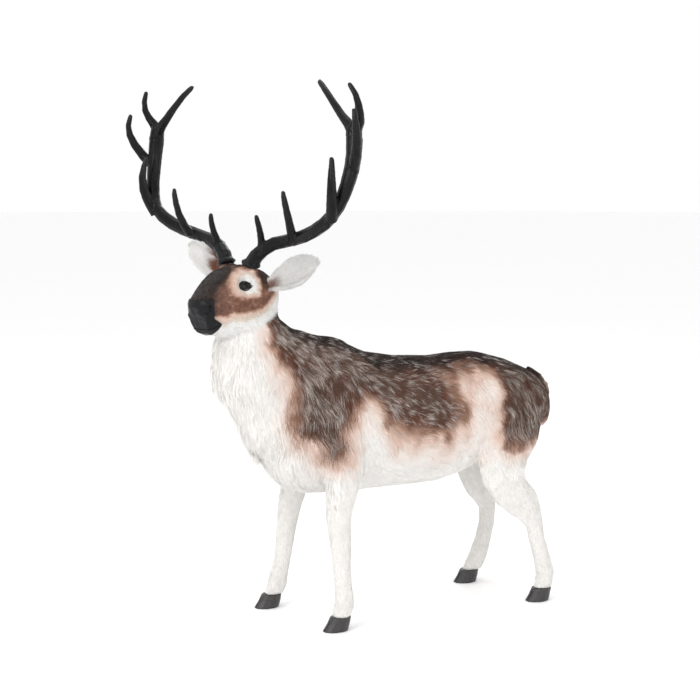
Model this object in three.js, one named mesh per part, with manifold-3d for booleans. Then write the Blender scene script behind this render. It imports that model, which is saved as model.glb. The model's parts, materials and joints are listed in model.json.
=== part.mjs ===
// Life-size standing reindeer figure: a steel frame and foam forms inside a faux-fur
// cover, with moulded hooves, muzzle and eyes, and antlers that pull off their sockets.
// Millimetres. The animal faces -Y, its left side is +X, and it stands on Z = 0.
import * as THREE from "three";
import { mergeVertices } from "three/addons/utils/BufferGeometryUtils.js";
import Module from "manifold-3d";

const wasm = await Module();
wasm.setup();

// ---------------------------------------------------------------- driving dimensions

const CLEARANCE = 0.3; // gap between pieces that touch

const BODY_LENGTH = 832; // chest to rump
const BODY_WIDTH = 268;
const BODY_DEPTH = 400; // belly to withers
const BELLY_HEIGHT = 324; // ground to belly
const FRONT_SEAM_RISE = -12; // belly to the seam that joins each leg cover to the body cover
const HIND_SEAM_RISE = 21;

const BODY_FUR = 14; // thickness of cover and pile
const MANE_FUR = 26;
const LEG_FUR = 7;
const FACE_FUR = 5;

const HEAD_TURN = THREE.MathUtils.degToRad(18); // towards the animal's left
const MUZZLE_WALL = 4;
const EYE_RADIUS = 14;
const LID_THICKNESS = 2.4;
const EAR_LENGTH = 160;
const EAR_WIDTH = 70;
const EAR_THICKNESS = 7;
const EAR_SLACK = 1; // the ears are soft, and sit loosely in the head

const HOOF_HEIGHT = 34;
const HOOF_LENGTH = 68;
const HOOF_WIDTH = 50;
const CLEFT_WIDTH = 4;

const SPINE_SIDE = 20; // square steel tube
const SPINE_WALL = 2;
const SPINE_RISE = 236; // belly to the middle of the tube
const CROSSBAR_LENGTH = 196;
const CROSSBAR_WIDTH = 26;
const CROSSBAR_THICKNESS = 8;
const LEG_ROD_RADIUS = 5;
const NECK_ROD_RADIUS = 6;
const NECK_ROD_SEAT = 40; // length of the neck rod inside the spine tube
const HEAD_PLATE_RADIUS = 26;
const HEAD_PLATE_THICKNESS = 4;
const NUT_THICKNESS = 8;
const BOLT_RADIUS = 4;

const PEG_RADIUS = 6; // steel pin moulded into each antler
const PEG_REACH = 44; // below the antler
const PEG_ROOT = 22; // inside the antler
const PEG_GAP = 0.5; // round the peg, which slides in its socket
const SOCKET_WALL = 3;
const BURR_RADIUS = 23;
const BURR_HEIGHT = 13;
const BEAM_SIZE = 1; // scale of the thickness of the antler's beam and tines

// ---------------------------------------------------------------- places worked out from them

const NUT_RADIUS = LEG_ROD_RADIUS * 1.95; // across the corners
const FRONT_SEAM = BELLY_HEIGHT + FRONT_SEAM_RISE;
const HIND_SEAM = BELLY_HEIGHT + HIND_SEAM_RISE;
const SPINE_HEIGHT = BELLY_HEIGHT + SPINE_RISE;
const SHOULDER_Y = -0.279 * BODY_LENGTH;
const HIP_Y = 0.34 * BODY_LENGTH;
const CHEST_Y = -0.475 * BODY_LENGTH;
const WITHERS = new THREE.Vector2(SHOULDER_Y, BELLY_HEIGHT + BODY_DEPTH + 11); // y, z
const HEAD_ORIGIN = new THREE.Vector3(22, WITHERS.x - 235, WITHERS.y - 735);
const ANKLE_SETBACK = 15; // the leg meets the hoof behind the middle of the sole
const HOOF_SHARE = (HOOF_HEIGHT - 2 * LEG_FUR) / BELLY_HEIGHT; // where a leg's outline ends

// Hoof places: the right legs are striding forward.
const LEGS = [
  { name: "front_left", kind: "front", side: 1, x: 132, y: SHOULDER_Y - 32, stride: 0 },
  { name: "front_right", kind: "front", side: -1, x: 140, y: SHOULDER_Y - 99, stride: 1 },
  { name: "hind_left", kind: "hind", side: 1, x: 128, y: HIP_Y + 56, stride: 0 },
  { name: "hind_right", kind: "hind", side: -1, x: 122, y: HIP_Y - 18, stride: 1 },
];

// ---------------------------------------------------------------- outlines

// Body: place along the length, then bottom and top over the belly line as shares of the
// depth, then half width as a share of the width.
const BODY_STATIONS = [
  [0, 0.2, 0.54, 0.19],
  [0.042, 0.08, 0.7, 0.35],
  [0.126, 0.01, 0.97, 0.465],
  [0.222, 0, 1.005, 0.5],
  [0.331, 0, 0.905, 0.5],
  [0.451, 0, 0.86, 0.498],
  [0.571, 0.003, 0.843, 0.49],
  [0.655, 0.045, 0.858, 0.474],
  [0.739, 0.12, 0.856, 0.47],
  [0.835, 0.235, 0.797, 0.444],
  [0.919, 0.28, 0.725, 0.37],
  [0.98, 0.3, 0.64, 0.245],
  [1, 0.38, 0.55, 0.11],
];

// Neck: nape and throat as offsets from the withers (y, z), half width, sideways lean.
const NECK_STATIONS = [
  [110, -100, -95, -385, 112, 0],
  [82, -48, -206, -284, 124, 0],
  [32, -14, -240, -203, 120, 0],
  [-32, -4, -290, -137, 108, 0],
  [-98, 22, -299, -80, 95, 1],
  [-136, 55, -295, -33, 84, 3],
  [-160, 100, -288, 10, 73, 7],
  [-178, 130, -280, 50, 60, 12],
];

// Head, in its own frame: y and height of the top and of the bottom, then half width.
const HEAD_STATIONS = [
  [88, 862, 80, 768, 44],
  [66, 892, 68, 742, 63],
  [30, 911, 38, 737, 70],
  [-12, 918, 2, 737, 70],
  [-58, 910, -34, 738, 62],
  [-92, 893, -64, 741, 51],
  [-119, 870, -86, 746, 44],
  [-139, 846, -107, 750, 40],
  [-147, 822, -123, 757, 34],
];

// Legs: height as a share of the belly height, share of the way in from the hoof towards
// the top joint, half width, half depth, and the offset back from the hoof in each stance.
// The last number is how much further forward the thigh swells on the leg that stands.
const LEG_STATIONS = {
  front: [
    [1.83, 1, 22, 40, 49, 116],
    [1.6, 0.74, 40, 70, 42, 106],
    [1.3, 0.48, 41, 58, 36, 93],
    [1.11, 0.33, 37, 46, 31, 83],
    [0.97, 0.22, 32, 40, 18, 74],
    [0.86, 0.15, 29, 34, 14, 67],
    [0.725, 0.09, 28, 31, 16, 59],
    [0.555, 0.055, 24, 26, 19, 53],
    [0.4, 0.03, 22.5, 24, 21, 47],
    [0.28, 0.01, 23, 25.5, 25, 37],
    [0.2, 0, 24.5, 27.5, 25, 33],
    [0.14, 0, 23, 25, 19, 25],
    [HOOF_SHARE, 0, 24, 27, ANKLE_SETBACK, ANKLE_SETBACK],
  ],
  hind: [
    [1.88, 1, 24, 45, -54, 18],
    [1.66, 0.85, 41, 98, -46, 23],
    [1.39, 0.57, 41, 84, -62, 5, 25],
    [1.23, 0.43, 38, 62, -76, -4, 44],
    [1.08, 0.29, 34, 49, -81, 3, 41],
    [0.97, 0.2, 31, 43, -72, 16, 29],
    [0.88, 0.14, 29, 45, -48, 30, 18],
    [0.8, 0.1, 27, 43, -33, 50, 9],
    [0.7, 0.06, 24, 31, -17, 66],
    [0.6, 0.04, 21.5, 24.5, -6, 71],
    [0.45, 0.02, 21, 23.5, 3, 67],
    [0.31, 0, 22, 25.5, 19, 53],
    [0.21, 0, 23.5, 27.5, 25, 41],
    [0.15, 0, 22.5, 26, 21, 30],
    [HOOF_SHARE, 0, 24, 27, ANKLE_SETBACK, ANKLE_SETBACK],
  ],
};
const LEG_TOP_X = { front: 78, hind: 74 };

// Antler, from the middle of its burr: outward, forward, up, and thickness radius.
const BEAM = [
  [0, 0, 0, 18],
  [24, -7, 29, 17],
  [68, -13, 51, 15.5],
  [118, -17, 60, 15],
  [178, -12, 74, 15.5],
  [232, -6, 95, 15.5],
  [274, -4, 122, 15],
  [296, -11, 155, 15],
  [308, -19, 190, 15],
  [314, -27, 225, 15.5],
  [316, -33, 262, 16],
  [314, -37, 300, 17],
  [311, -38, 326, 15],
];
const TINES = [
  [[33, -6, 34, 11], [38, 0, 60, 8.5], [41, 8, 84, 7], [39, 14, 106, 5.8], [37, 16, 118, 3.5]],
  [[142, -6, 62, 12], [152, 12, 94, 9.5], [156, 26, 128, 7.6], [155, 34, 160, 6], [154, 36, 177, 3.5]],
  [[276, -2, 112, 14], [292, 12, 146, 12], [300, 21, 186, 10], [299, 20, 222, 7.5], [294, 15, 246, 5.5],
    [292, 14, 255, 3.5]],
  [[318, -30, 232, 12], [346, -12, 264, 11], [363, 4, 298, 9.5], [368, 13, 328, 7],
    [363, 11, 353, 5.5], [360, 10, 363, 3.5]],
  [[312, -40, 318, 15], [328, -40, 340, 11], [339, -27, 362, 8.5], [341, -19, 388, 6.6],
    [328, -14, 412, 5.3], [322, -12, 421, 3.5]],
  [[316, -38, 308, 15], [292, -37, 336, 11], [262, -38, 362, 8.8], [226, -42, 398, 7.2],
    [194, -50, 424, 6], [184, -52, 432, 3.5]],
];
const BURR_PLACE = { out: 46, back: -5, up: 919 }; // in the head's frame
const PEDICLE_LEAN = THREE.MathUtils.degToRad(19); // outward
const PEDICLE_HEIGHT = 34;

// Ears: where each one leaves the head and the way it points, in the head's frame. The left
// one is laid back a little and the right one is pricked forward.
const EAR_ROOT = new THREE.Vector3(56, 30, 862);
const EAR_WAYS = {
  left: new THREE.Vector3(142, 42, 69).normalize(),
  right: new THREE.Vector3(-120, -46, 96).normalize(),
};
const EAR_CUP = 15; // depth of the hollow
const EYE_PLACE = new THREE.Vector3(45, -30, 865);
const LID_PLANE = new THREE.Vector3(0.86, -0.36, 0.36).normalize(); // the way each eye looks

const MOUTH_HEIGHT = 781;
const MOUTH_SLOPE = 0.2; // the mouth drops towards its corners
const MUZZLE_EDGE = -106; // the moulded muzzle is forward of this at the mouth
const MUZZLE_WAY = new THREE.Vector3(0, -0.9, -0.44).normalize(); // square to its edge
const LIP_EDGE = -84;
const LIP_WAY = new THREE.Vector3(0, -0.74, 0.67).normalize();

// ---------------------------------------------------------------- solids

// Turns a closed geometry into a solid that can be joined and cut.
function solid(geometry) {
  const bare = geometry.clone();
  bare.deleteAttribute("normal");
  bare.deleteAttribute("uv");
  const merged = mergeVertices(bare, 1e-4);
  return new wasm.Manifold(
    new wasm.Mesh({
      numProp: 3,
      vertProperties: merged.attributes.position.array,
      triVerts: new Uint32Array(merged.index.array),
    }),
  );
}

function geometryOf(body) {
  const mesh = body.getMesh();
  const positions = new Float32Array(mesh.numVert * 3);
  for (let v = 0; v < mesh.numVert; v++) {
    positions.set(mesh.vertProperties.subarray(v * mesh.numProp, v * mesh.numProp + 3), v * 3);
  }
  return new THREE.BufferGeometry()
    .setAttribute("position", new THREE.BufferAttribute(positions, 3))
    .setIndex(new THREE.BufferAttribute(mesh.triVerts, 1))
    .toNonIndexed();
}

const moved = (body, object) => {
  object.updateMatrix();
  return body.transform(object.matrix.elements);
};
const joined = (bodies) => bodies.reduce((all, one) => all.add(one));
const mirrored = (side) => new THREE.Vector3(side, 1, 1);

// Closes a stack of rings, each with the same number of points, into one solid.
function loft(rings) {
  const sides = rings[0].length;
  const points = rings.flat();
  const faces = [];
  for (let r = 0; r + 1 < rings.length; r++) {
    for (let i = 0; i < sides; i++) {
      const next = (i + 1) % sides;
      const [a, b] = [r * sides + i, r * sides + next];
      faces.push(a, b, b + sides, a, b + sides, a + sides);
    }
  }
  for (const [r, flip] of [[0, true], [rings.length - 1, false]]) {
    const middle = new THREE.Vector3();
    rings[r].forEach((p) => middle.addScaledVector(p, 1 / sides));
    points.push(middle);
    for (let i = 0; i < sides; i++) {
      const [a, b] = [r * sides + i, r * sides + ((i + 1) % sides)];
      faces.push(...(flip ? [b, a, points.length - 1] : [a, b, points.length - 1]));
    }
  }
  if (facesPointInwards(points, faces)) faces.reverse();
  const geometry = new THREE.BufferGeometry().setFromPoints(points);
  geometry.setIndex(faces);
  return solid(geometry);
}

function facesPointInwards(points, faces) {
  let volume = 0;
  const cross = new THREE.Vector3();
  for (let f = 0; f < faces.length; f += 3) {
    const [a, b, c] = faces.slice(f, f + 3).map((i) => points[i]);
    volume += a.dot(cross.crossVectors(b, c));
  }
  return volume < 0;
}

// Everything on the side of a plane that its normal points to.
function halfSpace(point, normal) {
  const SIZE = 3000;
  const block = new THREE.Object3D();
  block.quaternion.setFromUnitVectors(new THREE.Vector3(0, 0, 1), normal.clone().normalize());
  block.position.copy(normal).setLength(SIZE / 2).add(point);
  return moved(solid(new THREE.BoxGeometry(SIZE, SIZE, SIZE)), block);
}

function box(low, high) {
  const size = high.clone().sub(low);
  const geometry = new THREE.BoxGeometry(size.x, size.y, size.z);
  geometry.translate(...low.clone().add(high).multiplyScalar(0.5));
  return solid(geometry);
}

// A cylinder, prism or cone that stands on Z = bottom.
function post(bottomRadius, topRadius, bottom, top, sides = 12) {
  const geometry = new THREE.CylinderGeometry(topRadius, bottomRadius, top - bottom, sides);
  geometry.rotateX(Math.PI / 2);
  geometry.translate(0, 0, (bottom + top) / 2);
  return solid(geometry);
}

// A rounded square ring between a top point and a bottom point of a YZ outline. A positive
// egg makes the upper half wider than the lower half.
function bodyRing({ top, bottom, half, x }, sides, roundness, egg) {
  const middle = top.clone().add(bottom).multiplyScalar(0.5);
  const up = top.clone().sub(bottom).multiplyScalar(0.5);
  const round = (v) => Math.sign(v) * Math.abs(v) ** (2 / roundness);
  return Array.from({ length: sides }, (_, i) => {
    const angle = (2 * Math.PI * (i + 0.5)) / sides;
    const rise = round(Math.sin(angle));
    const across = half * (1 + egg * rise) * round(Math.cos(angle));
    return new THREE.Vector3(x + across, middle.x + up.x * rise, middle.y + up.y * rise);
  });
}

// A body part that passes smoothly through its stations, made smaller all round by inset.
function bodyPart(stations, { sides, steps, roundness = 2.2, egg = 0, inset = 0 }) {
  const line = (pick) => new THREE.CatmullRomCurve3(stations.map(pick), false, "catmullrom", 0.5);
  const tops = line((s) => new THREE.Vector3(s.x, s.top.x, s.top.y));
  const bottoms = line((s) => new THREE.Vector3(s.half, s.bottom.x, s.bottom.y));
  const rings = [];
  for (let i = 0; i <= steps; i++) {
    const top = tops.getPoint(i / steps);
    const bottom = bottoms.getPoint(i / steps);
    rings.push({
      x: top.x,
      half: bottom.x,
      top: new THREE.Vector2(top.y, top.z),
      bottom: new THREE.Vector2(bottom.y, bottom.z),
    });
  }
  const middle = (ring) => ring.top.clone().add(ring.bottom).multiplyScalar(0.5);
  for (const [end, inner] of [[0, 1], [steps, steps - 1]]) {
    const inward = middle(rings[inner]).sub(middle(rings[end])).normalize();
    rings[end].top.addScaledVector(inward, inset);
    rings[end].bottom.addScaledVector(inward, inset);
  }
  for (const ring of rings) {
    const down = ring.bottom.clone().sub(ring.top).normalize();
    ring.top.addScaledVector(down, inset);
    ring.bottom.addScaledVector(down, -inset);
    ring.half -= inset;
  }
  return loft(rings.map((ring) => bodyRing(ring, sides, roundness, egg)));
}

// A round bar along a smooth line through points, each with its own radius.
function taperedBar(points, radii, sides, steps) {
  const curve = new THREE.CatmullRomCurve3(points, false, "catmullrom", 0.5);
  const sizes = new THREE.CatmullRomCurve3(
    radii.map((r) => new THREE.Vector3(r, 0, 0)), false, "catmullrom", 0.5);
  const rings = [];
  const start = curve.getTangent(0);
  const across = new THREE.Vector3(0, Math.abs(start.y) < 0.7 ? 1 : 0, 0);
  across.x = 1 - across.y;
  across.cross(start).normalize();
  for (let i = 0; i <= steps; i++) {
    const tangent = curve.getTangent(i / steps);
    across.addScaledVector(tangent, -across.dot(tangent)).normalize();
    const other = tangent.clone().cross(across);
    const radius = sizes.getPoint(i / steps).x;
    const centre = curve.getPoint(i / steps);
    rings.push(Array.from({ length: sides }, (_, k) => {
      const angle = (2 * Math.PI * k) / sides;
      return centre.clone()
        .addScaledVector(across, radius * Math.cos(angle))
        .addScaledVector(other, radius * Math.sin(angle));
    }));
  }
  return loft(rings);
}

// A bent rod of one thickness, with flat ends.
function rod(points, radius, sides, steps) {
  return taperedBar(points, points.map(() => radius), sides, steps);
}

// ---------------------------------------------------------------- body outlines as solids

const yz = (y, z) => new THREE.Vector2(y, z);

const bodyStations = BODY_STATIONS.map(([place, bottom, top, half]) => {
  const y = CHEST_Y + place * BODY_LENGTH;
  return {
    x: 0,
    half: half * BODY_WIDTH,
    top: yz(y, BELLY_HEIGHT + top * BODY_DEPTH),
    bottom: yz(y, BELLY_HEIGHT + bottom * BODY_DEPTH),
  };
});

const neckStations = NECK_STATIONS.map(([napeY, napeZ, throatY, throatZ, half, x]) => ({
  x,
  half,
  top: WITHERS.clone().add(yz(napeY, napeZ)),
  bottom: WITHERS.clone().add(yz(throatY, throatZ)),
}));

const headStations = HEAD_STATIONS.map(([topY, topZ, bottomY, bottomZ, half]) => ({
  x: 0,
  half,
  top: yz(topY, topZ),
  bottom: yz(bottomY, bottomZ),
}));

function legCentres(leg) {
  return LEG_STATIONS[leg.kind].map(([height, inward, , , standing, striding]) => {
    const x = THREE.MathUtils.lerp(leg.x, LEG_TOP_X[leg.kind], inward);
    return new THREE.Vector3(
      leg.side * x, leg.y + (leg.stride ? striding : standing), height * BELLY_HEIGHT);
  });
}

// Each leg ring lies square to the leg, so its depth is measured across the leg's own run.
function legStations(leg) {
  const centres = legCentres(leg);
  return LEG_STATIONS[leg.kind].map(([, , half, depth, , , swell = 0], i) => {
    const above = centres[Math.max(i - 1, 0)];
    const below = centres[Math.min(i + 1, centres.length - 1)];
    const run = yz(below.y - above.y, below.z - above.z).normalize();
    const last = i === centres.length - 1;
    const forward = last ? yz(-1, 0) : yz(run.y, -run.x);
    const centre = yz(centres[i].y, centres[i].z);
    return {
      x: centres[i].x,
      half,
      top: centre.clone().addScaledVector(forward, depth + (leg.stride ? 0 : swell)),
      bottom: centre.clone().addScaledVector(forward, -depth),
    };
  });
}

const head = new THREE.Group();
head.position.copy(HEAD_ORIGIN);
head.rotation.z = HEAD_TURN;

// The frame of each antler: its burr's middle, with +Z along the peg and +X outward.
function antlerPlace(side) {
  const place = new THREE.Group();
  place.position.set(side * BURR_PLACE.out, BURR_PLACE.back, BURR_PLACE.up);
  place.rotation.y = side * PEDICLE_LEAN;
  return place;
}

function pedicle(side, inset) {
  const top = -BURR_HEIGHT / 2 - CLEARANCE - (inset > 0 ? CLEARANCE : 0);
  const stump = post(BURR_RADIUS + 6 - inset, BURR_RADIUS - 1 - inset, top - PEDICLE_HEIGHT, top, 10);
  return moved(stump, antlerPlace(side));
}

// The outside is cut finer than the surfaces that the fur hides.
const facets = (inset, fine, hidden) => (inset > 0 ? hidden : fine);

function skull(inset) {
  const [sides, steps] = facets(inset, [14, 9], [10, 7]);
  return bodyPart(headStations, { sides, steps, roundness: 2.5, egg: 0.1, inset });
}

function headShape(inset) {
  return joined([skull(inset), pedicle(1, inset), pedicle(-1, inset)]);
}

function legShape(leg, inset) {
  const [sides, steps] = facets(inset, [8, 13], [6, 10]);
  return bodyPart(legStations(leg), { sides, steps, roundness: 2, inset });
}

function trunkShape(inset) {
  const [sides, steps] = facets(inset, [16, 12], [10, 8]);
  return bodyPart(bodyStations, { sides, steps, roundness: 2.25, egg: -0.04, inset });
}

function neckShape(inset) {
  const [sides, steps] = facets(inset, [14, 7], [10, 5]);
  return bodyPart(neckStations, { sides, steps, roundness: 2.2, inset });
}

// The whole outline of the animal, pulled in by each part's own fur thickness and then by gap.
function animal(share, gap) {
  return joined([
    trunkShape(share * BODY_FUR + gap),
    neckShape(share * MANE_FUR + gap),
    moved(headShape(share * FACE_FUR + gap), head),
    ...LEGS.map((leg) => legShape(leg, share * LEG_FUR + gap)),
  ]);
}

const outline = animal(0, 0);
const underFur = animal(1, 0);
const foam = animal(1, CLEARANCE);
const fur = outline.subtract(underFur);

// ---------------------------------------------------------------- regions between seams

const NECK_SEAM = new THREE.Vector3(0, WITHERS.x - 68, WITHERS.y - 105);
const NECK_SEAM_WAY = new THREE.Vector3(0, -0.65, 0.76).normalize();
const HEAD_SEAM = new THREE.Vector3(0, WITHERS.x - 213, WITHERS.y + 39);
const HEAD_SEAM_WAY = new THREE.Vector3(0, -0.489, 0.871).normalize();

function pastSeam(point, way, gap) {
  return halfSpace(point.clone().addScaledVector(way, gap / 2), way);
}

function legRegion(leg, gap) {
  const seam = leg.kind === "front" ? FRONT_SEAM : HIND_SEAM;
  const middle = leg.kind === "front" ? SHOULDER_Y - 50 : HIP_Y + 60;
  const reach = leg.kind === "front" ? 155 : 180;
  const [inner, outer] = [leg.side * 2, leg.side * BODY_WIDTH];
  return box(
    new THREE.Vector3(Math.min(inner, outer), middle - reach, -10),
    new THREE.Vector3(Math.max(inner, outer), middle + reach, seam - gap),
  );
}

const overNeckSeam = pastSeam(NECK_SEAM, NECK_SEAM_WAY, CLEARANCE);
const overHeadSeam = pastSeam(HEAD_SEAM, HEAD_SEAM_WAY, CLEARANCE);
const fromNeckSeam = pastSeam(NECK_SEAM, NECK_SEAM_WAY, -CLEARANCE);
const fromHeadSeam = pastSeam(HEAD_SEAM, HEAD_SEAM_WAY, -CLEARANCE);

const trunkOf = (body) =>
  LEGS.reduce((rest, leg) => rest.subtract(legRegion(leg, 0)), body.subtract(fromNeckSeam));
const neckOf = (body) => body.intersect(overNeckSeam).subtract(fromHeadSeam);
const headOf = (body) => body.intersect(overHeadSeam);
const ankle = HOOF_HEIGHT + CLEARANCE;
const aboveHooves = halfSpace(new THREE.Vector3(0, 0, ankle), new THREE.Vector3(0, 0, 1));
const legOf = (body, leg) => body.intersect(legRegion(leg, CLEARANCE)).intersect(aboveHooves);

// ---------------------------------------------------------------- steel frame

const crossbarTop = SPINE_HEIGHT - SPINE_SIDE / 2 - CLEARANCE;
const crossbarBottom = crossbarTop - CROSSBAR_THICKNESS;
const rodTopX = CROSSBAR_LENGTH / 2 - 2 * LEG_ROD_RADIUS - 2;
const spineFront = SHOULDER_Y - CROSSBAR_WIDTH / 2 - NECK_ROD_SEAT;
const spineBack = HIP_Y + CROSSBAR_WIDTH;
const nutSeat = HOOF_HEIGHT / 3;
const rodEnd = nutSeat - NUT_THICKNESS - CLEARANCE;

// A leg rod runs down the middle of its leg and stands upright in the crossbar and the hoof.
function legRodPath(leg) {
  const barY = leg.kind === "front" ? SHOULDER_Y : HIP_Y;
  const top = new THREE.Vector3(leg.side * rodTopX, barY, 0);
  const foot = new THREE.Vector3(leg.side * leg.x, leg.y + ANKLE_SETBACK, 0);
  const seam = leg.kind === "front" ? FRONT_SEAM : HIND_SEAM;
  const bends = legCentres(leg).filter((p) => p.z < seam + 30 && p.z > HOOF_HEIGHT + 12);
  return [
    top.clone().setZ(crossbarTop + NUT_THICKNESS + 2),
    top.clone().setZ(crossbarBottom - 25),
    ...bends,
    foot.clone().setZ(HOOF_HEIGHT - 2),
    foot.clone().setZ(rodEnd),
  ];
}

const legRod = (leg, gap) => {
  const path = legRodPath(leg);
  path[0].z += gap;
  path[path.length - 1].z -= gap;
  return rod(path, LEG_ROD_RADIUS + gap, 6, 14);
};

function nut(x, y, bottom, gap) {
  const shell = post(NUT_RADIUS + gap, NUT_RADIUS + gap, bottom - gap, bottom + NUT_THICKNESS + gap, 6);
  const place = new THREE.Object3D();
  place.position.set(x, y, 0);
  return moved(shell, place);
}

const topNut = (leg, gap) =>
  nut(leg.side * rodTopX, leg.kind === "front" ? SHOULDER_Y : HIP_Y, crossbarTop + CLEARANCE, gap);
const soleNut = (leg, gap) =>
  nut(leg.side * leg.x, leg.y + ANKLE_SETBACK, nutSeat - NUT_THICKNESS, gap);

function spineBar(gap) {
  const side = SPINE_SIDE / 2 + gap;
  return box(
    new THREE.Vector3(-side, spineFront - gap, SPINE_HEIGHT - side),
    new THREE.Vector3(side, spineBack + gap, SPINE_HEIGHT + side),
  );
}

const spineBore = SPINE_SIDE / 2 - SPINE_WALL;
const spineHollow = box(
  new THREE.Vector3(-spineBore, spineFront - SPINE_SIDE, SPINE_HEIGHT - spineBore),
  new THREE.Vector3(spineBore, spineBack + SPINE_SIDE, SPINE_HEIGHT + spineBore),
);

function crossbar(y, gap) {
  const [half, width] = [CROSSBAR_LENGTH / 2 + gap, CROSSBAR_WIDTH / 2 + gap];
  return box(
    new THREE.Vector3(-half, y - width, crossbarBottom - gap),
    new THREE.Vector3(half, y + width, crossbarTop + gap),
  );
}

// A bolt drops through the spine tube and the crossbar: its head rests on the tube.
function frameBolt(y, gap) {
  const seat = SPINE_HEIGHT + SPINE_SIDE / 2 + CLEARANCE;
  const shank = post(BOLT_RADIUS + gap, BOLT_RADIUS + gap, crossbarBottom - 6 - gap, seat + 1);
  const cap = post(2 * BOLT_RADIUS + gap, 2 * BOLT_RADIUS + gap, seat - gap, seat + 5 + gap, 6);
  const place = new THREE.Object3D();
  place.position.y = y;
  return moved(shank.add(cap), place);
}

const headPlateMiddle = HEAD_SEAM.clone().addScaledVector(HEAD_SEAM_WAY, 14);
headPlateMiddle.x = 10;
const plateBack = HEAD_PLATE_THICKNESS / 2 + CLEARANCE;
const neckRodPath = [
  new THREE.Vector3(0, spineFront + NECK_ROD_SEAT, SPINE_HEIGHT),
  new THREE.Vector3(0, spineFront, SPINE_HEIGHT),
  new THREE.Vector3(0, spineFront - 2 * NECK_ROD_RADIUS, SPINE_HEIGHT),
  new THREE.Vector3(0, spineFront - 6 * NECK_ROD_RADIUS, SPINE_HEIGHT + 2 * NECK_ROD_RADIUS),
  new THREE.Vector3(0, WITHERS.x - 110, WITHERS.y - 90),
  headPlateMiddle.clone().addScaledVector(HEAD_SEAM_WAY, -60),
  headPlateMiddle.clone().addScaledVector(HEAD_SEAM_WAY, -plateBack),
];
const neckRod = (gap) => rod(neckRodPath, NECK_ROD_RADIUS + gap, 8, 8);

function headPlate(gap) {
  const place = new THREE.Object3D();
  place.position.copy(headPlateMiddle);
  place.quaternion.setFromUnitVectors(new THREE.Vector3(0, 0, 1), HEAD_SEAM_WAY);
  const half = HEAD_PLATE_THICKNESS / 2 + gap;
  return moved(post(HEAD_PLATE_RADIUS + gap, HEAD_PLATE_RADIUS + gap, -half, half, 12), place);
}

const frameHollows = joined([
  spineBar(CLEARANCE),
  crossbar(SHOULDER_Y, CLEARANCE),
  crossbar(HIP_Y, CLEARANCE),
  frameBolt(SHOULDER_Y, CLEARANCE),
  frameBolt(HIP_Y, CLEARANCE),
  neckRod(CLEARANCE),
  headPlate(CLEARANCE),
  ...LEGS.flatMap((leg) => [legRod(leg, CLEARANCE), topNut(leg, CLEARANCE)]),
]);

// ---------------------------------------------------------------- hooves

function hoof(leg) {
  const rings = [];
  const [STEPS, SIDES] = [2, 14];
  for (let i = 0; i <= STEPS; i++) {
    const rise = i / STEPS;
    const length = THREE.MathUtils.lerp(HOOF_LENGTH / 2, 27, rise ** 0.8);
    const width = THREE.MathUtils.lerp(HOOF_WIDTH / 2, 24, rise);
    const back = THREE.MathUtils.lerp(0, ANKLE_SETBACK, rise ** 0.8);
    rings.push(Array.from({ length: SIDES }, (_, k) => {
      const angle = (2 * Math.PI * (k + 0.5)) / SIDES;
      const toe = Math.sin(angle) < 0 ? 1 - 0.14 * (1 - rise) * Math.sin(angle) ** 2 : 1;
      return new THREE.Vector3(
        width * toe * Math.cos(angle), back + length * Math.sin(angle), rise * HOOF_HEIGHT);
    }));
  }
  const cleft = box(
    new THREE.Vector3(-CLEFT_WIDTH / 2, -HOOF_LENGTH, -5),
    new THREE.Vector3(CLEFT_WIDTH / 2, -HOOF_LENGTH * 0.13, HOOF_HEIGHT * 0.8),
  );
  const place = new THREE.Object3D();
  place.position.set(leg.side * leg.x, leg.y, 0);
  const recess = nut(leg.side * leg.x, leg.y + ANKLE_SETBACK, nutSeat - NUT_THICKNESS, CLEARANCE)
    .add(moved(post(NUT_RADIUS + 1, NUT_RADIUS + 1, -5, nutSeat - CLEARANCE),
      new THREE.Object3D().translateX(leg.side * leg.x).translateY(leg.y + ANKLE_SETBACK)));
  return moved(loft(rings).subtract(cleft), place).subtract(recess).subtract(legRod(leg, CLEARANCE));
}

// ---------------------------------------------------------------- face

// In the head's frame: the space forward of a leaning edge, above or below the mouth.
function forwardOf(edge, way, gap) {
  return halfSpace(new THREE.Vector3(0, edge, MOUTH_HEIGHT).addScaledVector(way, -gap), way);
}
function mouthSide(side, gap) {
  const way = new THREE.Vector3(0, MOUTH_SLOPE * side, side).normalize();
  return halfSpace(new THREE.Vector3(0, MUZZLE_EDGE, MOUTH_HEIGHT).addScaledVector(way, gap), way);
}

const muzzleSpace = (gap) =>
  forwardOf(MUZZLE_EDGE, MUZZLE_WAY, gap).intersect(mouthSide(1, CLEARANCE / 2 - gap));
const lipSpace = (gap) =>
  forwardOf(LIP_EDGE, LIP_WAY, gap).intersect(mouthSide(-1, CLEARANCE / 2 - gap));
const mouldedNose = skull(-1).subtract(skull(MUZZLE_WALL));
const noseCore = skull(MUZZLE_WALL + CLEARANCE);
const nostril = (side) => {
  const dimple = new THREE.SphereGeometry(9, 8, 6);
  dimple.scale(0.8, 1, 0.75);
  dimple.translate(side * 27, -137, 811);
  return solid(dimple);
};

// The frame of each eye: its middle, with +Z the way it looks.
function eyePlace(side) {
  const place = new THREE.Group();
  place.position.copy(EYE_PLACE).multiply(mirrored(side));
  place.quaternion.setFromUnitVectors(
    new THREE.Vector3(0, 0, 1), LID_PLANE.clone().multiply(mirrored(side)));
  return place;
}

const eyeball = (gap) => solid(new THREE.SphereGeometry(EYE_RADIUS + gap, 12, 8));

// The lid is a ring that hugs the eyeball just behind its front.
const lidOpening = EYE_RADIUS * 0.78;
const lidSeat = Math.sqrt(EYE_RADIUS ** 2 - lidOpening ** 2);
const lidBack = lidSeat - 2 * LID_THICKNESS;
const lidRadius = EYE_RADIUS + 2 * LID_THICKNESS;

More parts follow.
